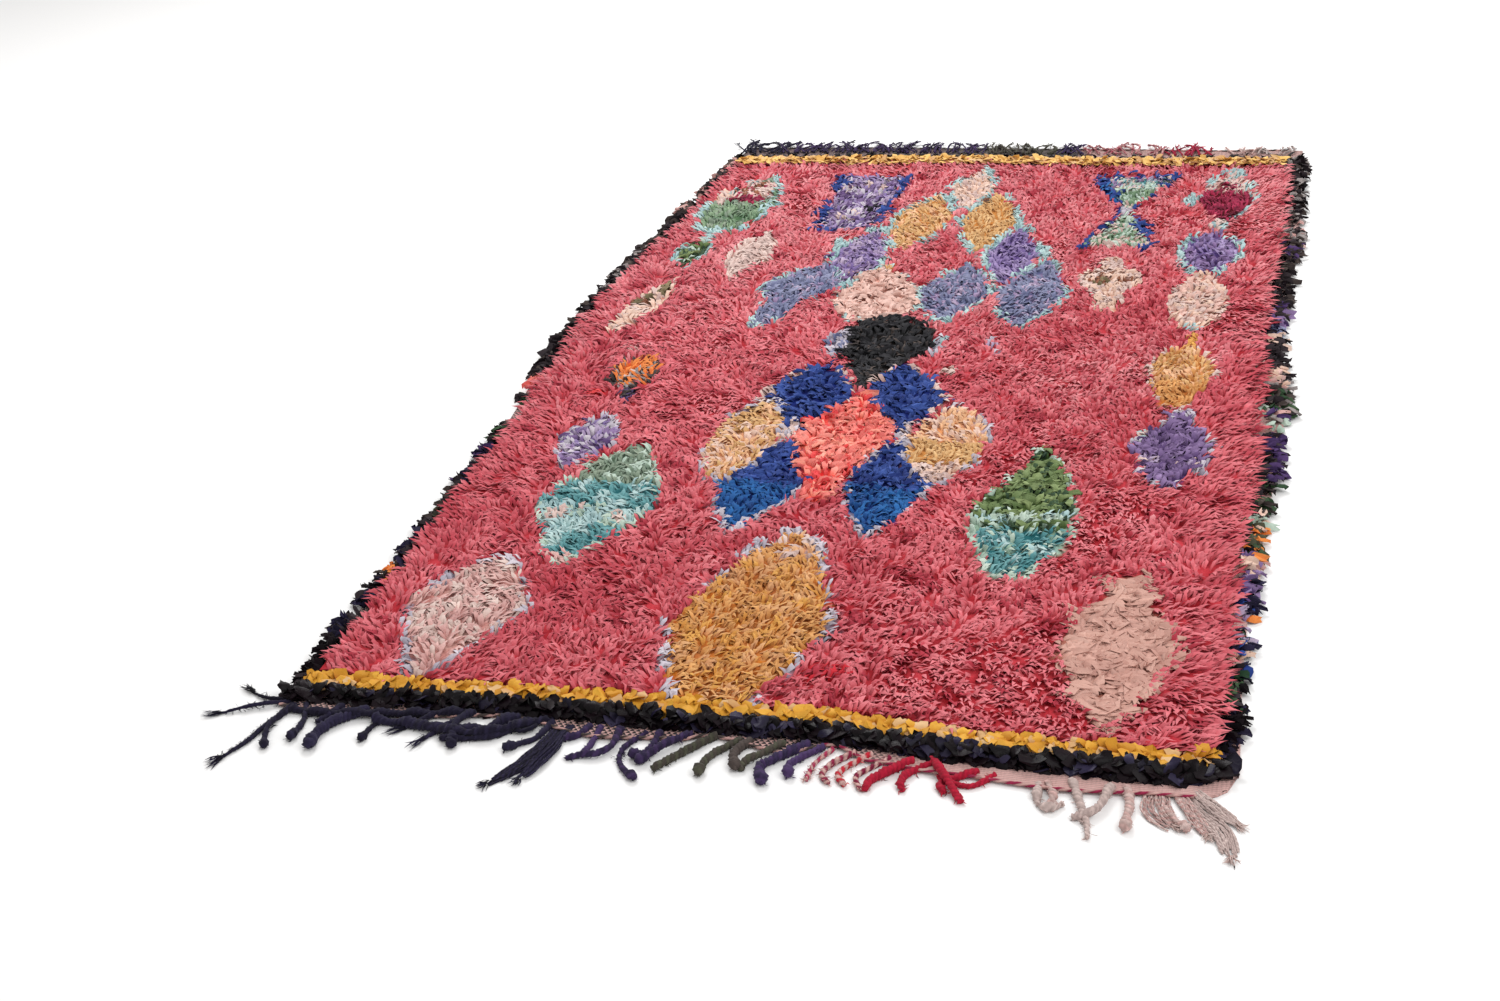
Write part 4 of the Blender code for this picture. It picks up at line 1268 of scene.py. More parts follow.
# %% Lines of the yellow and black rows
FlapLine = namedtuple("FlapLine", "inwards step lean length breadth base rise droop")
YELLOW_LINES = (
    FlapLine(0.50, 0.0125, 1, (0.012, 0.019), (0.018, 0.029), 0.018, 0.008, 0.0),
    FlapLine(0.78, 0.0100, -1, (0.020, 0.029), (0.020, 0.031), 0.019, 0.008, 0.009),
    FlapLine(0.50, 0.0115, -1, (0.015, 0.023), (0.019, 0.030), 0.015, 0.008, 0.007),
)
FAR_YELLOW_LINES = (
    FlapLine(0.96, 0.0080, 1, (0.016, 0.024), (0.020, 0.030), 0.019, 0.006, 0.0),
    *(
        line._replace(step=line.step * 0.85, length=(line.length[0] * 1.15, line.length[1] * 1.15))
        for line in YELLOW_LINES
    ),
)
BLACK_LINES = (
    FlapLine(0.30, 0.0130, 1, (0.012, 0.020), (0.018, 0.030), 0.017, 0.009, 0.0),
    FlapLine(0.82, 0.0105, -1, (0.018, 0.026), (0.022, 0.036), 0.016, 0.008, 0.010),
    FlapLine(0.55, 0.0110, -1, (0.016, 0.022), (0.020, 0.034), 0.010, 0.007, 0.010),
    FlapLine(0.35, 0.0130, -1, (0.010, 0.016), (0.020, 0.034), 0.005, 0.006, 0.005),
)
print(len(YELLOW_LINES), "lines near and", len(FAR_YELLOW_LINES), "far of yellow,", len(BLACK_LINES), "of black")

# %% Helper that makes a row of flaps
ROW_CORNER_START, ROW_CORNER_WIDTH, ROW_CORNER_DEPTH = 0.600, 0.082, 0.052
ROW_STRAY = 0.0022
FLAP_STRAY = 0.0012
EndRow = namedtuple("EndRow", "name lines end_y outer inner outward names left right moved lowered short cloth")


def row_of_flaps(row, rng):
    """The flaps of one end row. Outward is -1 at the near end and 1 at the far one."""
    parts = []
    for line in row.lines:
        low, high = float(side_x(row.left, 1.2 * row.outward)), float(side_x(row.right, 1.2 * row.outward))
        x = np.arange(low + 0.004, high - row.short, line.step)
        x = x + rng.normal(0, line.step * 0.25, len(x))
        outer_y, inner_y = row.end_y(row.outer, x), row.end_y(row.inner, x)
        base = outer_y + (inner_y - outer_y) * line.inwards
        y = base + row.outward * row.moved + rng.normal(0, ROW_STRAY, len(x))
        heading = -row.outward * line.lean * np.pi / 2 + rng.normal(0, 0.55, len(x))
        if row.outward < 0:
            into = np.clip((x - ROW_CORNER_START) / ROW_CORNER_WIDTH, 0, 1)
            y = y + ROW_CORNER_DEPTH * (1 - np.sqrt(1 - into**2))
            heading = heading - line.lean * into * 1.1
        names = np.array([code(name) for name in row.names.split()])
        towards_last = 1 - 0.45 * np.clip(x / 0.6, -1, 1)
        picked = names[(rng.random(len(x)) ** towards_last * len(names)).astype(int)]
        flaps = Tufts(
            x=x,
            y=y,
            z=np.full(len(x), line.base - row.lowered) + rng.normal(0, FLAP_STRAY, len(x)),
            heading=heading,
            length=rng.uniform(*line.length, len(x)),
            breadth=rng.uniform(*line.breadth, len(x)),
            rise=line.rise * rng.uniform(0.75, 1.15, len(x)),
            curl=rng.normal(0, 0.3, len(x)),
            roll=rng.normal(0, 0.5, len(x)),
            colour=dyed(picked, rng.uniform(0.0, 1.0, len(x))),
        )
        parts.append(flap_arrays(flaps, rng, line.droop, 0.0015, 0.0006))
    return joined(parts)


print("the rows turn the corner from x =", ROW_CORNER_START, "m")

# %% Model the yellow and black rows
END_ROWS = (
    EndRow(
        "near_yellow_rags", YELLOW_LINES, near_y, "yellow", "field", -1, "yellow " * 6 + "sun",
        "left_inner", "right_inner", 0.013, 0.002, 0.012, petal_cloth,
    ),
    EndRow(
        "far_yellow_rags", FAR_YELLOW_LINES, far_y, "yellow", "field", 1, "pale_yellow " * 3 + "sun",
        "left_inner", "right_inner", 0.003, -0.003, 0.004, petal_cloth,
    ),
    # Among the black rags go midnight ones, more of them towards the right: partly a navy rag and partly painted
    # sheen, standing in for the blue-violet shine of the satin.
    EndRow(
        "near_black_rags", BLACK_LINES, near_y, "black", "yellow", -1, "black " * 4 + "midnight",
        "left_outer", "right_outer", 0.013, 0.002, 0.010, satin_cloth,
    ),
    EndRow(
        "far_black_rags", BLACK_LINES[:3], far_y, "black", "yellow", 1, "black black charcoal",
        "left_outer", "right_outer", 0.004, 0.004, 0.004, satin_cloth,
    ),
)
for row in END_ROWS:
    joined_mesh(row.name, *row_of_flaps(row, chance), row.cloth, crisp=45)

# %% [markdown]
# ## Ragged sides
#
# Along both long edges the weaver bound the selvedge with leftovers, mostly black and charcoal, with
# a few brighter ones. They hang out over the edge in clumps, with gaps between. The table says which
# dyes run along which stretch, and the flaps are narrower than those of the end rows.

# %% Runs of the side rags
SideRun = namedtuple("SideRun", "side start end names")
SIDE_RUNS = (
    SideRun(-1, -1.32, -1.13, "black charcoal black"),
    SideRun(-1, -1.13, -0.96, "navy charcoal"),
    SideRun(-1, -0.96, -0.90, "orange umber"),
    SideRun(-1, -0.90, -0.76, "navy charcoal"),
    SideRun(-1, -0.76, -0.62, "umber marl charcoal"),
    SideRun(-1, -0.62, -0.45, "navy plum charcoal"),
    SideRun(-1, -0.45, -0.20, "charcoal deep_green umber black"),
    SideRun(-1, -0.20, -0.15, "coral"),
    SideRun(-1, -0.15, 0.30, "charcoal black umber"),
    SideRun(-1, 0.30, 0.56, "charcoal umber ash charcoal"),
    SideRun(-1, 0.56, 0.80, "umber charcoal umber"),
    SideRun(-1, 0.80, 1.24, "umber charcoal dusty_pink umber"),
    SideRun(1, -1.32, -1.16, "black black midnight"),
    SideRun(1, -1.16, -1.05, "charcoal deep_green navy black"),
    SideRun(1, -1.05, -0.99, "navy royal cream charcoal"),
    SideRun(1, -0.99, -0.95, "deep_green lilac navy"),
    SideRun(1, -0.95, -0.89, "navy royal orange lilac"),
    SideRun(1, -0.89, -0.85, "navy royal"),
    SideRun(1, -0.85, -0.79, "plum purple navy"),
    SideRun(1, -0.79, -0.73, "cream purple shell"),
    SideRun(1, -0.73, -0.62, "deep_green charcoal orange marl"),
    SideRun(1, -0.62, -0.59, "cream mint"),
    SideRun(1, -0.59, -0.47, "charcoal deep_green umber"),
    SideRun(1, -0.47, -0.27, "plum plum charcoal"),
    SideRun(1, -0.27, -0.19, "ash shell mint plum"),
    SideRun(1, -0.19, -0.09, "umber charcoal deep_green ash"),
    SideRun(1, -0.09, 0.01, "ash shell cream charcoal"),
    SideRun(1, 0.01, 0.11, "charcoal"),
    SideRun(1, 0.11, 0.15, "cream charcoal"),
    SideRun(1, 0.15, 0.20, "navy slate"),
    SideRun(1, 0.20, 0.30, "plum purple charcoal umber"),
    SideRun(1, 0.30, 0.56, "charcoal umber black"),
    SideRun(1, 0.56, 0.66, "plum umber charcoal"),
    SideRun(1, 0.66, 0.80, "umber ash shell charcoal"),
    SideRun(1, 0.80, 1.24, "umber charcoal ash black"),
)
print(len(SIDE_RUNS), "runs of side rags")

# %% Model the side rags
CLUMP_SIZE = 0.034
CLUMPS_END = -1.12
SIDE_RAG_LENGTHS = (0.016, 0.028)
SIDE_RAG_BREADTHS = (0.008, 0.018)
SideLine = namedtuple("SideLine", "outwards step base rise droop")
SIDE_LINES = (
    SideLine(0.30, 0.0105, 0.010, 0.008, 0.001),
    SideLine(0.58, 0.0090, 0.009, 0.009, 0.005),
    SideLine(0.88, 0.0090, 0.006, 0.007, 0.006),
)


def side_rags(side, rng):
    inner, outer = ("left_inner", "left_outer") if side < 0 else ("right_inner", "right_outer")
    parts = []
    for line in SIDE_LINES:
        y = np.arange(-1.300 if side < 0 else -1.290, 1.215, line.step)
        y = y + rng.normal(0, line.step * 0.25, len(y))
        clump = waves(y * 0 + side, y, CLUMP_SIZE, 5.5)
        gaps = np.where((side < 0) & (y < -0.25) | (side > 0) & (y < -0.55), -0.20, -0.34)
        kept = (clump + rng.normal(0, 0.12, len(y)) > gaps) | (y < CLUMPS_END)
        y, clump = y[kept], clump[kept]
        x = side_x(inner, y) + (side_x(outer, y) - side_x(inner, y)) * line.outwards
        corner_in = side * 0.016 * np.clip((-1.17 - y) / 0.09, 0, 1)
        right_in = (side > 0) * 0.010 * np.clip((-0.9 - y) / 0.2, 0, 1)
        x = x - corner_in - right_in
        picked = np.full(len(y), code("black"))
        for run in SIDE_RUNS:
            if run.side == side:
                here = (y >= run.start) & (y < run.end)
                choices = np.array([code(name) for name in run.names.split()])
                picked = np.where(here, choices[rng.integers(0, len(choices), len(y))], picked)
        heading = (0.0 if side > 0 else np.pi) + rng.normal(0, 0.6, len(y))
        rags = Tufts(
            x=x + rng.normal(0, 0.002, len(y)),
            y=y,
            z=np.full(len(y), line.base) + rng.normal(0, FLAP_STRAY, len(y)),
            heading=heading,
            length=rng.uniform(*SIDE_RAG_LENGTHS, len(y)) * (1 + 0.5 * clump),
            breadth=rng.uniform(*SIDE_RAG_BREADTHS, len(y)),
            rise=line.rise * rng.uniform(0.7, 1.2, len(y)),
            curl=rng.normal(0, 0.5, len(y)),
            roll=rng.normal(0, 0.6, len(y)),
            colour=dyed(picked, rng.uniform(0.0, 1.0, len(y))),
        )
        parts.append(flap_arrays(rags, rng, line.droop, 0.0026, 0.0010))
    return joined(parts)


joined_mesh("left_side_rags", *side_rags(-1, chance), side_cloth, crisp=36)
joined_mesh("right_side_rags", *side_rags(1, chance), side_cloth, crisp=36)

# %% [markdown]
# ## Fringes
#
# When the rug came off the loom its warps were twisted in bunches into soft cords, and most were
# tied in a knot. A cord is two yarns wound round each other, and that shows as a rope's slanting
# lines. A tube whose section is slightly two-lobed, and turns along the path, has the same lines with
# no need to model both yarns. Its knot is the same tube, swollen, and its frayed ends are thin tufts.

# %% Helper that makes a cord
CORD_SIDES = 8
CORD_STEP = 0.0032
PLY_PITCH = 0.015
LOBE_DEPTH = 0.16


def cord_arrays(path, radius, plies, rng, squeeze=0.92, pitch=PLY_PITCH, sides=CORD_SIDES):
    """(points, triangles, colours) of a closed two-ply tube along a path of places."""
    tangent = np.gradient(path, axis=0)
    tangent /= np.linalg.norm(tangent, axis=1)[:, None]
    side = np.cross(tangent, [0.0, 0.0, 1.0])
    side /= np.linalg.norm(side, axis=1)[:, None]
    rise = np.cross(side, tangent)
    steps = np.linalg.norm(np.diff(path, axis=0), axis=1)
    spin = np.concatenate([[0.0], np.cumsum(steps)]) / pitch * 2 * np.pi + rng.uniform(0, 6.28)
    angle = np.linspace(0, 2 * np.pi, sides, endpoint=False)[None]
    lobes = 1 + LOBE_DEPTH * np.cos(2 * (angle - spin[:, None]))
    size = radius[:, None] * lobes * rng.normal(1, 0.075, (len(path), sides))
    ring = (
        path[:, None]
        + side[:, None] * (size * np.cos(angle))[..., None]
        + rise[:, None] * (size * np.sin(angle) * squeeze)[..., None]
    )
    ring[..., 2] = np.maximum(ring[..., 2], FLOOR_CLEARANCE)
    ends = path[[0, -1]] + tangent[[0, -1]] * radius[[0, -1], None] * np.array([[-0.4], [0.4]])
    ends[:, 2] = np.maximum(ends[:, 2], 0.0006)
    points = np.concatenate([ring.reshape(-1, 3), ends])
    first = (np.cos(angle - spin[:, None]) > 0)[..., None]
    shades = np.where(first, plies[0], plies[1]) * rng.normal(1, 0.10, (len(path), sides, 1))
    # Painted shade in the groove between the two plies, darker where the section is thin.
    groove_shade = (0.70 + 0.30 * (lobes - 0.84) / 0.32)[..., None]
    colours = np.concatenate([(shades * groove_shade).reshape(-1, 3), plies])
    ring_now = np.arange(sides)
    ring_next = (ring_now + 1) % sides
    wall = np.concatenate([
        np.stack([ring_now, ring_next, ring_next + sides], 1),
        np.stack([ring_now, ring_next + sides, ring_now + sides], 1),
    ])
    count = len(path)
    walls = repeated(wall, count - 1, sides)
    last = (count - 1) * sides
    root_cap = np.stack([ring_next, ring_now, np.full(sides, count * sides)], 1)
    tip_cap = np.stack([ring_now + last, ring_next + last, np.full(sides, count * sides + 1)], 1)
    return points, np.concatenate([walls, root_cap, tip_cap]), np.clip(colours, 0, 1)


print("a cord turns once every", PLY_PITCH * 1000, "mm")


# %% Helpers that round a cord's course and fray its end
def rounded_course(corners, step=CORD_STEP):
    """Places a step apart along a smooth curve that passes through every corner."""
    given = np.array(corners, float)
    before = 2 * given[0] - given[1]
    after = 2 * given[-1] - given[-2]
    knots = np.vstack([before, given, after])
    pieces = []
    for a, b, c, d in zip(knots, knots[1:], knots[2:], knots[3:]):
        t = np.linspace(0, 1, 24, endpoint=False)[:, None]
        pieces.append(
            0.5 * (2 * b + (c - a) * t + (2 * a - 5 * b + 4 * c - d) * t**2 + (3 * b - a - 3 * c + d) * t**3)
        )
    dense = np.vstack([*pieces, given[-1:]])
    gone = np.concatenate([[0], np.cumsum(np.linalg.norm(np.diff(dense, axis=0), axis=1))])
    wanted = np.linspace(0, gone[-1], max(7, int(gone[-1] / step)))
    return np.stack([np.interp(wanted, gone, column) for column in dense.T], 1)


def wisps(place, heading, count, length, colour, rng, breadth=(0.0011, 0.0026), spread=0.25):
    """Loose yarn ends that leave a cord, as thin tufts."""
    return tuft_arrays(
        Tufts(
            x=place[0] + rng.normal(0, 0.002, count),
            y=place[1] + rng.normal(0, 0.002, count),
            z=rng.uniform(0.0015, 0.006, count) + max(0.0, place[2] - 0.006),
            heading=heading + rng.normal(0, spread, count),
            length=length * rng.uniform(0.55, 1.15, count),
            breadth=rng.uniform(*breadth, count),
            rise=rng.uniform(-0.003, 0.003, count),
            curl=rng.normal(0, 0.8, count),
            roll=rng.normal(0, 0.8, count),
            colour=colour * rng.uniform(0.75, 1.25, (count, 1)),
        ),
        rng,
    )


print("a bend of three corners has", len(rounded_course(((0, 0), (0.02, 0.03), (0.05, 0.03)))), "places")

# %% [markdown]
# No two cords of the near fringe lie alike. Some run along the edge in a matted bundle, some bend back
# towards the viewer, and the pale ones at the right have come open. A rule for that would be longer
# than a list, so the table gives each cord's course over the floor in metres, its radius, how it ends
# and its dyes. The colour changes along the rug because the warps were dyed in lots.

# %% Table of the near cords
Cord = namedtuple("Cord", "ends radius dyes lift course")
NEAR_CORDS = (
    Cord("frayed", 0.0039, "navy navy", 0.004,
         ((-0.675, -1.308), (-0.713, -1.322), (-0.748, -1.338), (-0.775, -1.350))),
    Cord("frayed", 0.0036, "ink ink", 0.002,
         ((-0.672, -1.303), (-0.705, -1.304), (-0.729, -1.298), (-0.753, -1.284))),
    Cord("frayed", 0.0048, "navy ink", 0.0,
         ((-0.662, -1.314), (-0.684, -1.373), (-0.692, -1.412), (-0.714, -1.462))),
    Cord("knot", 0.0042, "navy ink", 0.003,
         ((-0.668, -1.314), (-0.677, -1.368), (-0.671, -1.397), (-0.659, -1.425))),
    Cord("knot", 0.0048, "navy ink", 0.0, ((-0.646, -1.312), (-0.632, -1.355), (-0.631, -1.400))),
    Cord("knot", 0.0086, "navy navy", 0.0,
         ((-0.548, -1.314), (-0.584, -1.352), (-0.596, -1.384), (-0.592, -1.418))),
    Cord("blunt", 0.0060, "navy ink", 0.0, ((-0.590, -1.308), (-0.602, -1.340), (-0.612, -1.352))),
    Cord("knot", 0.0040, "navy ink", 0.0, ((-0.508, -1.314), (-0.524, -1.353), (-0.525, -1.388))),
    Cord("matted", 0.0068, "navy ink", 0.004,
         ((-0.390, -1.300), (-0.451, -1.314), (-0.500, -1.322), (-0.560, -1.328), (-0.615, -1.332), (-0.665, -1.326))),
    Cord("matted", 0.0080, "navy navy", 0.0,
         ((-0.315, -1.300), (-0.362, -1.340), (-0.414, -1.345), (-0.460, -1.341), (-0.525, -1.338))),
    Cord("matted", 0.0074, "ink navy", 0.005,
         ((-0.272, -1.302), (-0.319, -1.334), (-0.356, -1.352), (-0.400, -1.354), (-0.440, -1.346), (-0.485, -1.338))),
    Cord("frayed", 0.0052, "navy navy", 0.0, ((-0.402, -1.318), (-0.422, -1.346), (-0.438, -1.374))),
    Cord("knot", 0.0062, "navy navy", 0.009, ((-0.386, -1.300), (-0.396, -1.338), (-0.386, -1.386))),
    Cord("matted", 0.0056, "navy ink", 0.0,
         ((-0.300, -1.304), (-0.328, -1.345), (-0.367, -1.360), (-0.410, -1.367))),
    Cord("frayed", 0.0050, "navy ink", 0.003, ((-0.440, -1.308), (-0.462, -1.338), (-0.480, -1.352))),
    Cord("knot", 0.0050, "navy navy", 0.0,
         ((-0.262, -1.304), (-0.273, -1.346), (-0.292, -1.364), (-0.308, -1.380))),
    Cord("blunt", 0.0036, "ink navy", 0.004,
         ((-0.287, -1.302), (-0.284, -1.324), (-0.300, -1.336), (-0.326, -1.324))),
    Cord("bunch", 0.0090, "navy ink", 0.0,
         ((-0.250, -1.306), (-0.257, -1.370), (-0.276, -1.421), (-0.304, -1.462))),
    Cord("bunch", 0.0075, "navy navy", 0.003,
         ((-0.234, -1.308), (-0.242, -1.373), (-0.251, -1.418), (-0.263, -1.448))),
    Cord("blunt", 0.0058, "plum navy", 0.0, ((-0.205, -1.306), (-0.214, -1.330), (-0.232, -1.342))),
    Cord("blunt", 0.0048, "plum plum", 0.0, ((-0.189, -1.306), (-0.189, -1.346), (-0.192, -1.371))),
    Cord("blunt", 0.0055, "plum navy", 0.003,
         ((-0.159, -1.308), (-0.157, -1.351), (-0.171, -1.374), (-0.194, -1.378), (-0.213, -1.387))),
    Cord("knot", 0.0043, "plum navy", 0.0,
         ((-0.119, -1.310), (-0.140, -1.350), (-0.136, -1.384), (-0.116, -1.410), (-0.101, -1.421))),
    Cord("knot", 0.0063, "navy plum", 0.004,
         ((-0.056, -1.308), (-0.086, -1.346), (-0.099, -1.367), (-0.110, -1.385))),
    Cord("knot", 0.0056, "plum navy", 0.0,
         ((-0.100, -1.310), (-0.102, -1.345), (-0.110, -1.367), (-0.126, -1.367))),
    Cord("blunt", 0.0066, "marl umber", 0.0,
         ((-0.020, -1.306), (-0.049, -1.346), (-0.067, -1.370), (-0.084, -1.396))),
    Cord("knot", 0.0058, "umber marl", 0.0,
         ((0.018, -1.310), (-0.008, -1.344), (-0.019, -1.372), (-0.018, -1.400))),
    Cord("knot", 0.0066, "umber umber", 0.0, ((0.032, -1.310), (0.018, -1.345), (0.030, -1.380))),
    Cord("blunt", 0.0060, "umber marl", 0.003,
         ((0.078, -1.312), (0.057, -1.342), (0.038, -1.362), (0.037, -1.379))),
    Cord("knot", 0.0074, "plum navy", 0.0,
         ((0.114, -1.308), (0.080, -1.346), (0.062, -1.372), (0.074, -1.408))),
    Cord("knot", 0.0055, "plum plum", 0.0,
         ((0.136, -1.310), (0.110, -1.342), (0.099, -1.360), (0.105, -1.386))),
    Cord("blunt", 0.0036, "dusty_pink wine", 0.0, ((0.150, -1.312), (0.133, -1.348), (0.130, -1.389))),
    Cord("blunt", 0.0048, "dusty_pink wine", 0.0,
         ((0.182, -1.316), (0.154, -1.352), (0.149, -1.376), (0.161, -1.391))),
    Cord("blunt", 0.0047, "bright_red dusty_pink", 0.0,
         ((0.205, -1.318), (0.177, -1.353), (0.171, -1.375), (0.184, -1.393))),
    Cord("blunt", 0.0040, "dusty_pink wine", 0.0,
         ((0.232, -1.322), (0.206, -1.354), (0.195, -1.374), (0.207, -1.400))),
    Cord("blunt", 0.0070, "red red", 0.0, ((0.263, -1.326), (0.233, -1.359), (0.216, -1.380), (0.213, -1.400))),
    Cord("blunt", 0.0058, "red red", 0.0, ((0.289, -1.330), (0.262, -1.357), (0.257, -1.379), (0.263, -1.394))),
    Cord("blunt", 0.0060, "red red", 0.007,
         ((0.288, -1.316), (0.303, -1.346), (0.323, -1.378), (0.343, -1.408))),
    Cord("blunt", 0.0056, "red red", 0.0, ((0.354, -1.338), (0.327, -1.357), (0.308, -1.374), (0.318, -1.390))),
    Cord("blunt", 0.0044, "red red", 0.0, ((0.378, -1.342), (0.352, -1.370), (0.325, -1.368), (0.303, -1.356))),
    Cord("lump", 0.0044, "pale_wool pale_wool", 0.0,
         ((0.436, -1.352), (0.441, -1.392), (0.456, -1.406), (0.474, -1.392))),
    Cord("lump", 0.0040, "pale_wool dusty_pink", 0.003,
         ((0.449, -1.352), (0.460, -1.384), (0.452, -1.402), (0.466, -1.398))),
    Cord("taper", 0.0062, "pale_wool pale_wool", 0.0,
         ((0.480, -1.344), (0.497, -1.395), (0.508, -1.428), (0.513, -1.460))),
    Cord("blunt", 0.0062, "pale_wool pale_wool", 0.005,
         ((0.530, -1.348), (0.523, -1.391), (0.510, -1.412), (0.489, -1.420))),
    Cord("knot", 0.0062, "dusty_pink pale_wool", 0.0,
         ((0.551, -1.346), (0.558, -1.383), (0.557, -1.410), (0.558, -1.438))),
    Cord("bunch", 0.0150, "pale_wool dusty_pink", 0.0,
         ((0.588, -1.338), (0.592, -1.380), (0.604, -1.406), (0.620, -1.420))),
    Cord("knot", 0.0038, "dusty_pink pale_wool", 0.003,
         ((0.602, -1.382), (0.614, -1.404), (0.624, -1.416), (0.636, -1.426))),
    Cord("bunch", 0.0110, "pale_wool pale_wool", 0.0,
         ((0.620, -1.340), (0.648, -1.387), (0.677, -1.423), (0.692, -1.476))),
    Cord("bunch", 0.0060, "pale_wool pale_wool", 0.002, ((0.632, -1.336), (0.669, -1.379), (0.697, -1.407))),
    Cord("bunch", 0.0060, "pale_wool dusty_pink", 0.001, ((0.612, -1.340), (0.642, -1.399), (0.660, -1.434))),
)
print(len(NEAR_CORDS), "cords at the near end")

# %% [markdown]
# A swelling near the tip makes the knot. An open bunch is many thin yarns that leave the cloth side by
# side and come together again at the tip, where the twist still holds.

# %% Helper that opens a cord into a bunch
YARNS_OF_A_BUNCH = 20
YARN_RADIUS = 0.0012
YARN_SIDES = 5


def plies_of(names, rng, spread=(0.25, 0.85)):
    codes = np.array([code(name) for name in names.split()])
    return dyed(codes, rng.uniform(*spread, len(codes)))


def bunch_arrays(cord, course, heading, rng):
    """The yarns of an untwisted cord, spread at their middle."""
    parts = []
    share = np.linspace(0, 1, len(course))
    ahead = np.gradient(course, axis=0)
    ahead /= np.linalg.norm(ahead, axis=1)[:, None]
    sideways = np.stack([-ahead[:, 1], ahead[:, 0]], 1)
    for yarn in range(YARNS_OF_A_BUNCH):
        slot = (yarn + 0.5) / YARNS_OF_A_BUNCH * 2 - 1 + rng.normal(0, 0.1)
        opened = cord.radius * slot * (0.55 + 0.75 * np.sin(share * np.pi) ** 0.8)
        wander = 0.0018 * np.sin(share * rng.uniform(5, 14) + rng.uniform(0, 6))
        places = course + sideways * (opened + wander)[:, None]
        stop = max(7, int(len(course) * rng.uniform(0.82, 1.0)))
        height = YARN_RADIUS + 0.0042 * rng.random() * np.sin(share * np.pi) + cord.lift
        path = np.column_stack([places, height])[:stop]
        radius = np.full(stop, YARN_RADIUS * rng.uniform(0.8, 1.5))
        yarn_dye = plies_of(cord.dyes, rng, (0.0, 1.1))
        parts.append(cord_arrays(path, radius, yarn_dye, rng, pitch=0.010, sides=YARN_SIDES))
    tip = np.append(course[-2], 0.004)
    parts.append(wisps(tip, heading, 26, 0.016, plies_of(cord.dyes, rng)[0], rng, spread=0.45))
    return parts


print(sum(cord.ends == "bunch" for cord in NEAR_CORDS), "cords are open bunches")

# %% Model the near fringe
KNOT_EXTRA = 0.0046
CLOTH_END_HEIGHT = 0.0045


def near_cords(rng):
    parts = []
    for cord in NEAR_CORDS:
        course = rounded_course(cord.course)
        step = course[-1] - course[-2]
        heading = math.atan2(step[1], step[0])
        if cord.ends == "bunch":
            parts += bunch_arrays(cord, course, heading, rng)
            continue
        share = np.linspace(0, 1, len(course))
        gone = share * len(course) * CORD_STEP
        left = gone[-1] - gone
        uneven = 0.07 * np.sin(gone / 0.011 + rng.uniform(0, 6)) + 0.05 * np.sin(gone / 0.0042 + rng.uniform(0, 6))
        radius = cord.radius * (1 + uneven) * (0.92 + 0.12 * np.exp(-gone / 0.02))
        if cord.ends == "knot":
            knot = cord.radius * 0.62 + KNOT_EXTRA
            swell = np.exp(-(((left - knot * 1.05) / (knot * 0.95)) ** 4))
            radius = radius + (knot - radius) * swell
            radius = np.where(left < knot * 0.12, knot * 0.55, radius)
        elif cord.ends in ("taper", "frayed"):
            radius = radius * (1 - 0.5 * share**2)
        elif cord.ends == "lump":
            radius = radius * (1.25 + 0.45 * np.sin(gone / 0.006 + rng.uniform(0, 6)))
        elif cord.ends == "matted":
            radius = radius * (1.0 + 0.22 * np.sin(gone / 0.008 + rng.uniform(0, 6)))
        else:
            radius = radius * np.where(left < cord.radius * 0.7, 0.78, 1.0)
        lift = cord.lift * np.sin(np.pi * np.clip(share * 1.15, 0, 1)) ** 0.6
        height = radius * 0.9 + lift
        height[0] = CLOTH_END_HEIGHT
        path = np.column_stack([course, height])
        plies = plies_of(cord.dyes, rng)
        if "wine" not in cord.dyes and "bright_red" not in cord.dyes:
            plies = 0.5 * plies + 0.5 * plies.mean(0)
        parts.append(cord_arrays(path, radius, plies, rng))
        if cord.ends == "frayed":
            parts.append(wisps(path[-3], heading, 22, 0.030, plies[0], rng, spread=0.20))
            parts.append(wisps(path[len(path) // 2], heading, 8, 0.016, plies[1], rng, spread=0.5))
        else:
            parts.append(wisps(path[-2], heading, 8, 0.008, plies[0], rng, spread=0.7))
        fuzz = {"matted": 1.1, "lump": 1.3, "taper": 0.8}.get(cord.ends, 0.65)
        for number in range(int(len(path) * fuzz)):
            spot = path[rng.integers(1, len(path) - 1)]
            way = heading + rng.normal(0, 0.7) if cord.ends == "matted" else rng.uniform(0, 6.28)
            parts.append(wisps(spot, way, 3, 0.010, plies[number % 2], rng, (0.0006, 0.0016), 0.5))
    return joined(parts)


joined_mesh("near_knotted_cords", *near_cords(chance), cord_wool, crisp=55)

# %% [markdown]
# At the far end the cords are finer, stand close together and lean every way, and their ends have come
# undone into brushes. Seen only from afar, tubes of five sides will do. A run of the table gives how
# many stand between two places, and where the dye changes.

# %% Model the far fringe
FarRun = namedtuple("FarRun", "first_x last_x cords dyes")
FAR_RUNS = (
    FarRun(-0.690, -0.590, 16, "ink navy"),
    FarRun(-0.585, -0.300, 34, "ink plum"),
    FarRun(-0.296, -0.072, 28, "plum ink"),
    FarRun(-0.064, 0.104, 20, "marl umber"),
    FarRun(0.110, 0.174, 9, "plum navy"),
    FarRun(0.184, 0.256, 7, "dusty_pink wine"),
    FarRun(0.266, 0.366, 9, "wine dusty_pink"),
    FarRun(0.376, 0.476, 11, "red wine"),
    FarRun(0.530, 0.575, 5, "dusty_pink pale_wool"),
    FarRun(0.590, 0.662, 6, "pale_wool ash"),
)
FAR_LENGTH = 0.088
FAR_RADII = (0.0020, 0.0036)
FAR_SIDES = 5
print(sum(run.cords for run in FAR_RUNS), "cords at the far end")


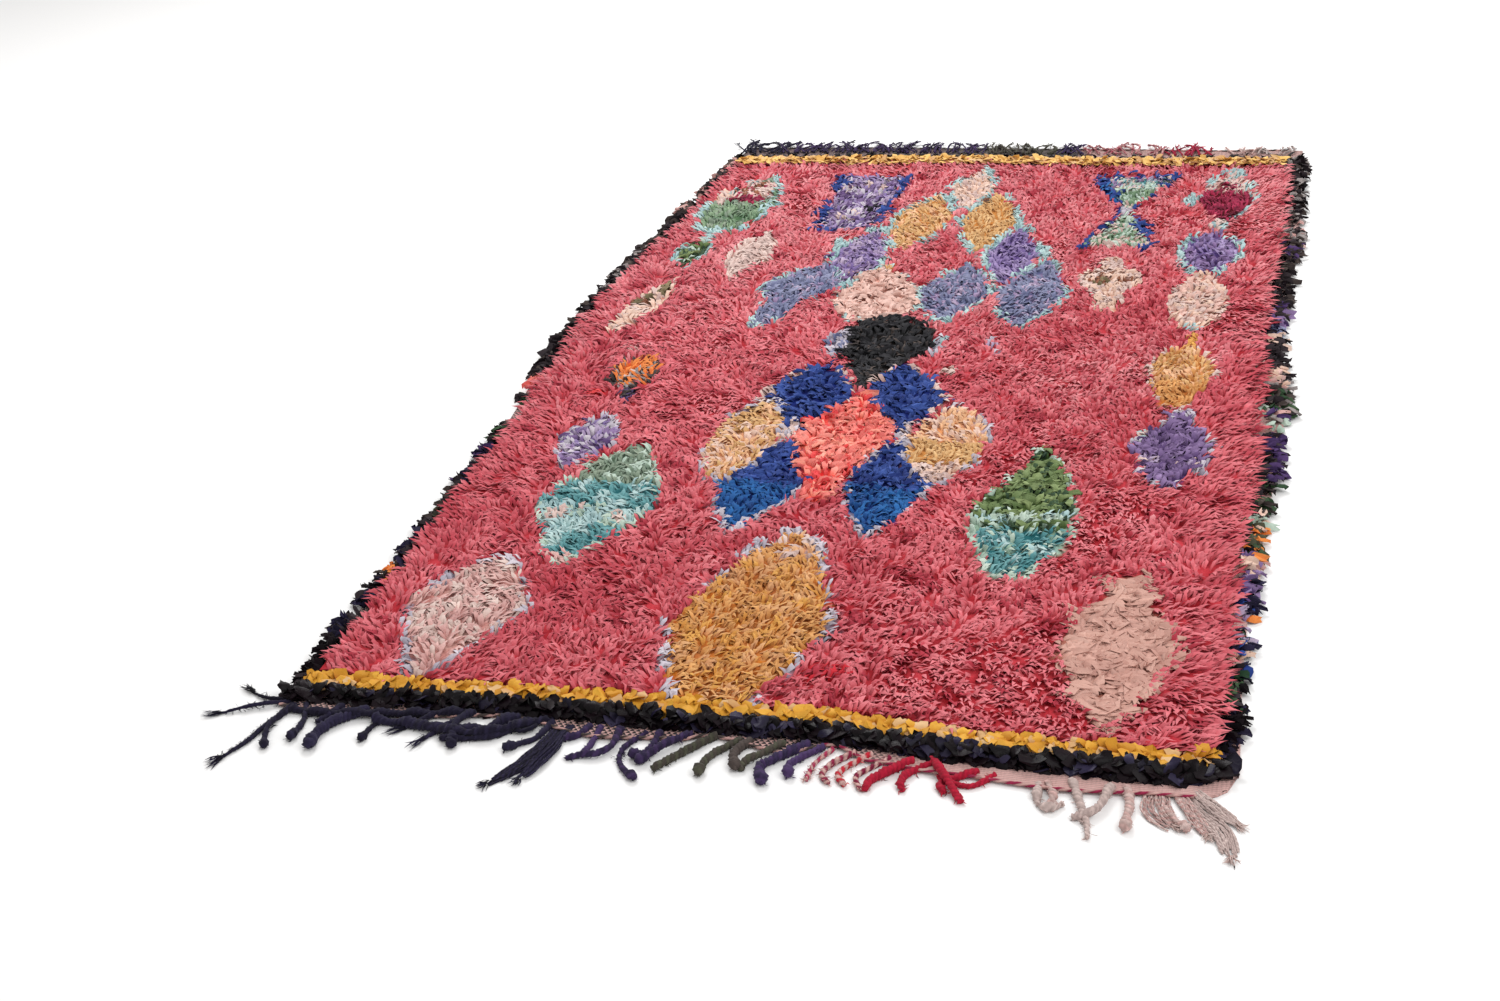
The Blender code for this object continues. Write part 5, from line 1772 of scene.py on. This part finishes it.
def far_cords(rng):
    parts = []
    for run in FAR_RUNS:
        for x in np.linspace(run.first_x, run.last_x, run.cords):
            x = x + rng.normal(0, 0.003)
            y = float(far_y("cloth", x)) - 0.040 + rng.normal(0, 0.004)
            plies = plies_of(run.dyes, rng)
            longer = 1.15 if x < -0.59 else 0.75 if x > 0.5 else 1.0
            length = FAR_LENGTH * rng.uniform(0.60, 1.0) * longer
            lean = rng.normal(-0.05, 0.34)
            tip = (x + length * math.sin(lean), y + length * math.cos(lean))
            bend_lean = lean + rng.normal(0, 0.3)
            bend = (x + length * 0.5 * math.sin(bend_lean), y + length * 0.5 * math.cos(lean))
            course = rounded_course(((x, y), bend, tip), 0.008)
            height = 0.0085 + rng.uniform(0.0, 0.007) * np.sin(np.linspace(0, np.pi, len(course)))
            path = np.column_stack([course, height])
            radius = rng.uniform(*FAR_RADII) * np.linspace(1.0, 0.7, len(course))
            parts.append(cord_arrays(path, radius, plies, rng, sides=FAR_SIDES))
            heading = math.pi / 2 - lean
            parts.append(wisps(path[-2], heading, 5, 0.020, plies[0], rng, spread=0.40))
            parts.append(wisps(path[-4], heading, 6, 0.024, plies[1], rng, spread=0.65))
    return joined(parts)


joined_mesh("far_brushed_cords", *far_cords(chance), cord_wool, crisp=55)

# %% [markdown]
# Between the cloth and the cords runs one twined cord, which locks the last weft in place. It has a
# light ply and a dark one, so it shows as a row of small slanting stitches.

# %% Model the twined cords
TWINE_RADIUS = 0.0025
TWINE_PITCH = 0.028
TWINE_STEP = 0.0042


def twine(end_y, outward, runs, rng):
    """One cord in several lengths, each with its own dyes: (first x, last x, dyes)."""
    parts = []
    for first, last, names in runs:
        x = np.arange(first, last, TWINE_STEP)
        y = end_y("cloth", x) + outward * 0.0012
        z = np.full(len(x), CLOTH_THICKNESS + TWINE_RADIUS * 0.5)
        plies = plies_of(names, rng, (0.4, 0.6))
        path = np.stack([x, y, z], 1)
        parts.append(cord_arrays(path, np.full(len(x), TWINE_RADIUS), plies, rng, pitch=TWINE_PITCH))
    return joined(parts)


NEAR_TWINE = ((-0.688, 0.130, "umber dusty_pink"), (0.128, 0.640, "dusty_pink wine"))
FAR_TWINE = ((-0.688, 0.180, "ash umber"), (0.178, 0.662, "dusty_pink charcoal"))
joined_mesh("near_twined_cord", *twine(near_y, -1, NEAR_TWINE, chance), cord_wool, crisp=55)
joined_mesh("far_twined_cord", *twine(far_y, 1, FAR_TWINE, chance), cord_wool, crisp=55)

# %% [markdown]
# ## Hand the pieces over
#
# Nothing on a rug moves, so every piece rides on the one body. Each piece says which solids it stands
# for, and those are hidden, and it names a material slot. The ground cloth was never cut: it came off
# the loom at its flat size.

# %% Ride and replace
Handover = namedtuple("Handover", "piece nodes slot")
HANDOVERS = (
    Handover(woven_ground, ("ground_cloth",), "ground_weave"),
    Handover(pile_bed, ("field_pile",), "rose_rags"),
    Handover(made_pieces["rose_tufts_near"], ("field_pile",), "rose_rags"),
    Handover(made_pieces["rose_tufts_middle"], ("field_pile",), "rose_rags"),
    Handover(made_pieces["rose_tufts_far"], ("field_pile",), "rose_rags"),
    Handover(made_pieces["lozenge_tufts_near"], ("field_pile",), "rose_rags"),
    Handover(made_pieces["lozenge_tufts_far"], ("field_pile",), "rose_rags"),
    Handover(made_pieces["broad_lozenge_rags"], ("field_pile",), "rose_rags"),
    Handover(made_pieces["near_yellow_rags"], ("near_yellow_row",), "yellow_rags"),
    Handover(made_pieces["far_yellow_rags"], ("far_yellow_row",), "yellow_rags"),
    Handover(made_pieces["near_black_rags"], ("near_black_row",), "black_rags"),
    Handover(made_pieces["far_black_rags"], ("far_black_row",), "black_rags"),
    Handover(made_pieces["left_side_rags"], ("left_side_row",), "edge_rags"),
    Handover(made_pieces["right_side_rags"], ("right_side_row",), "edge_rags"),
    Handover(made_pieces["near_knotted_cords"], ("near_fringe",), "fringe_cords"),
    Handover(made_pieces["near_twined_cord"], ("near_fringe",), "fringe_cords"),
    Handover(made_pieces["far_brushed_cords"], ("far_fringe",), "fringe_cords"),
    Handover(made_pieces["far_twined_cord"], ("far_fringe",), "fringe_cords"),
)
for handover in HANDOVERS:
    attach(handover.piece, "root")
    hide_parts(*handover.nodes)
print(len(HANDOVERS), "pieces handed over")
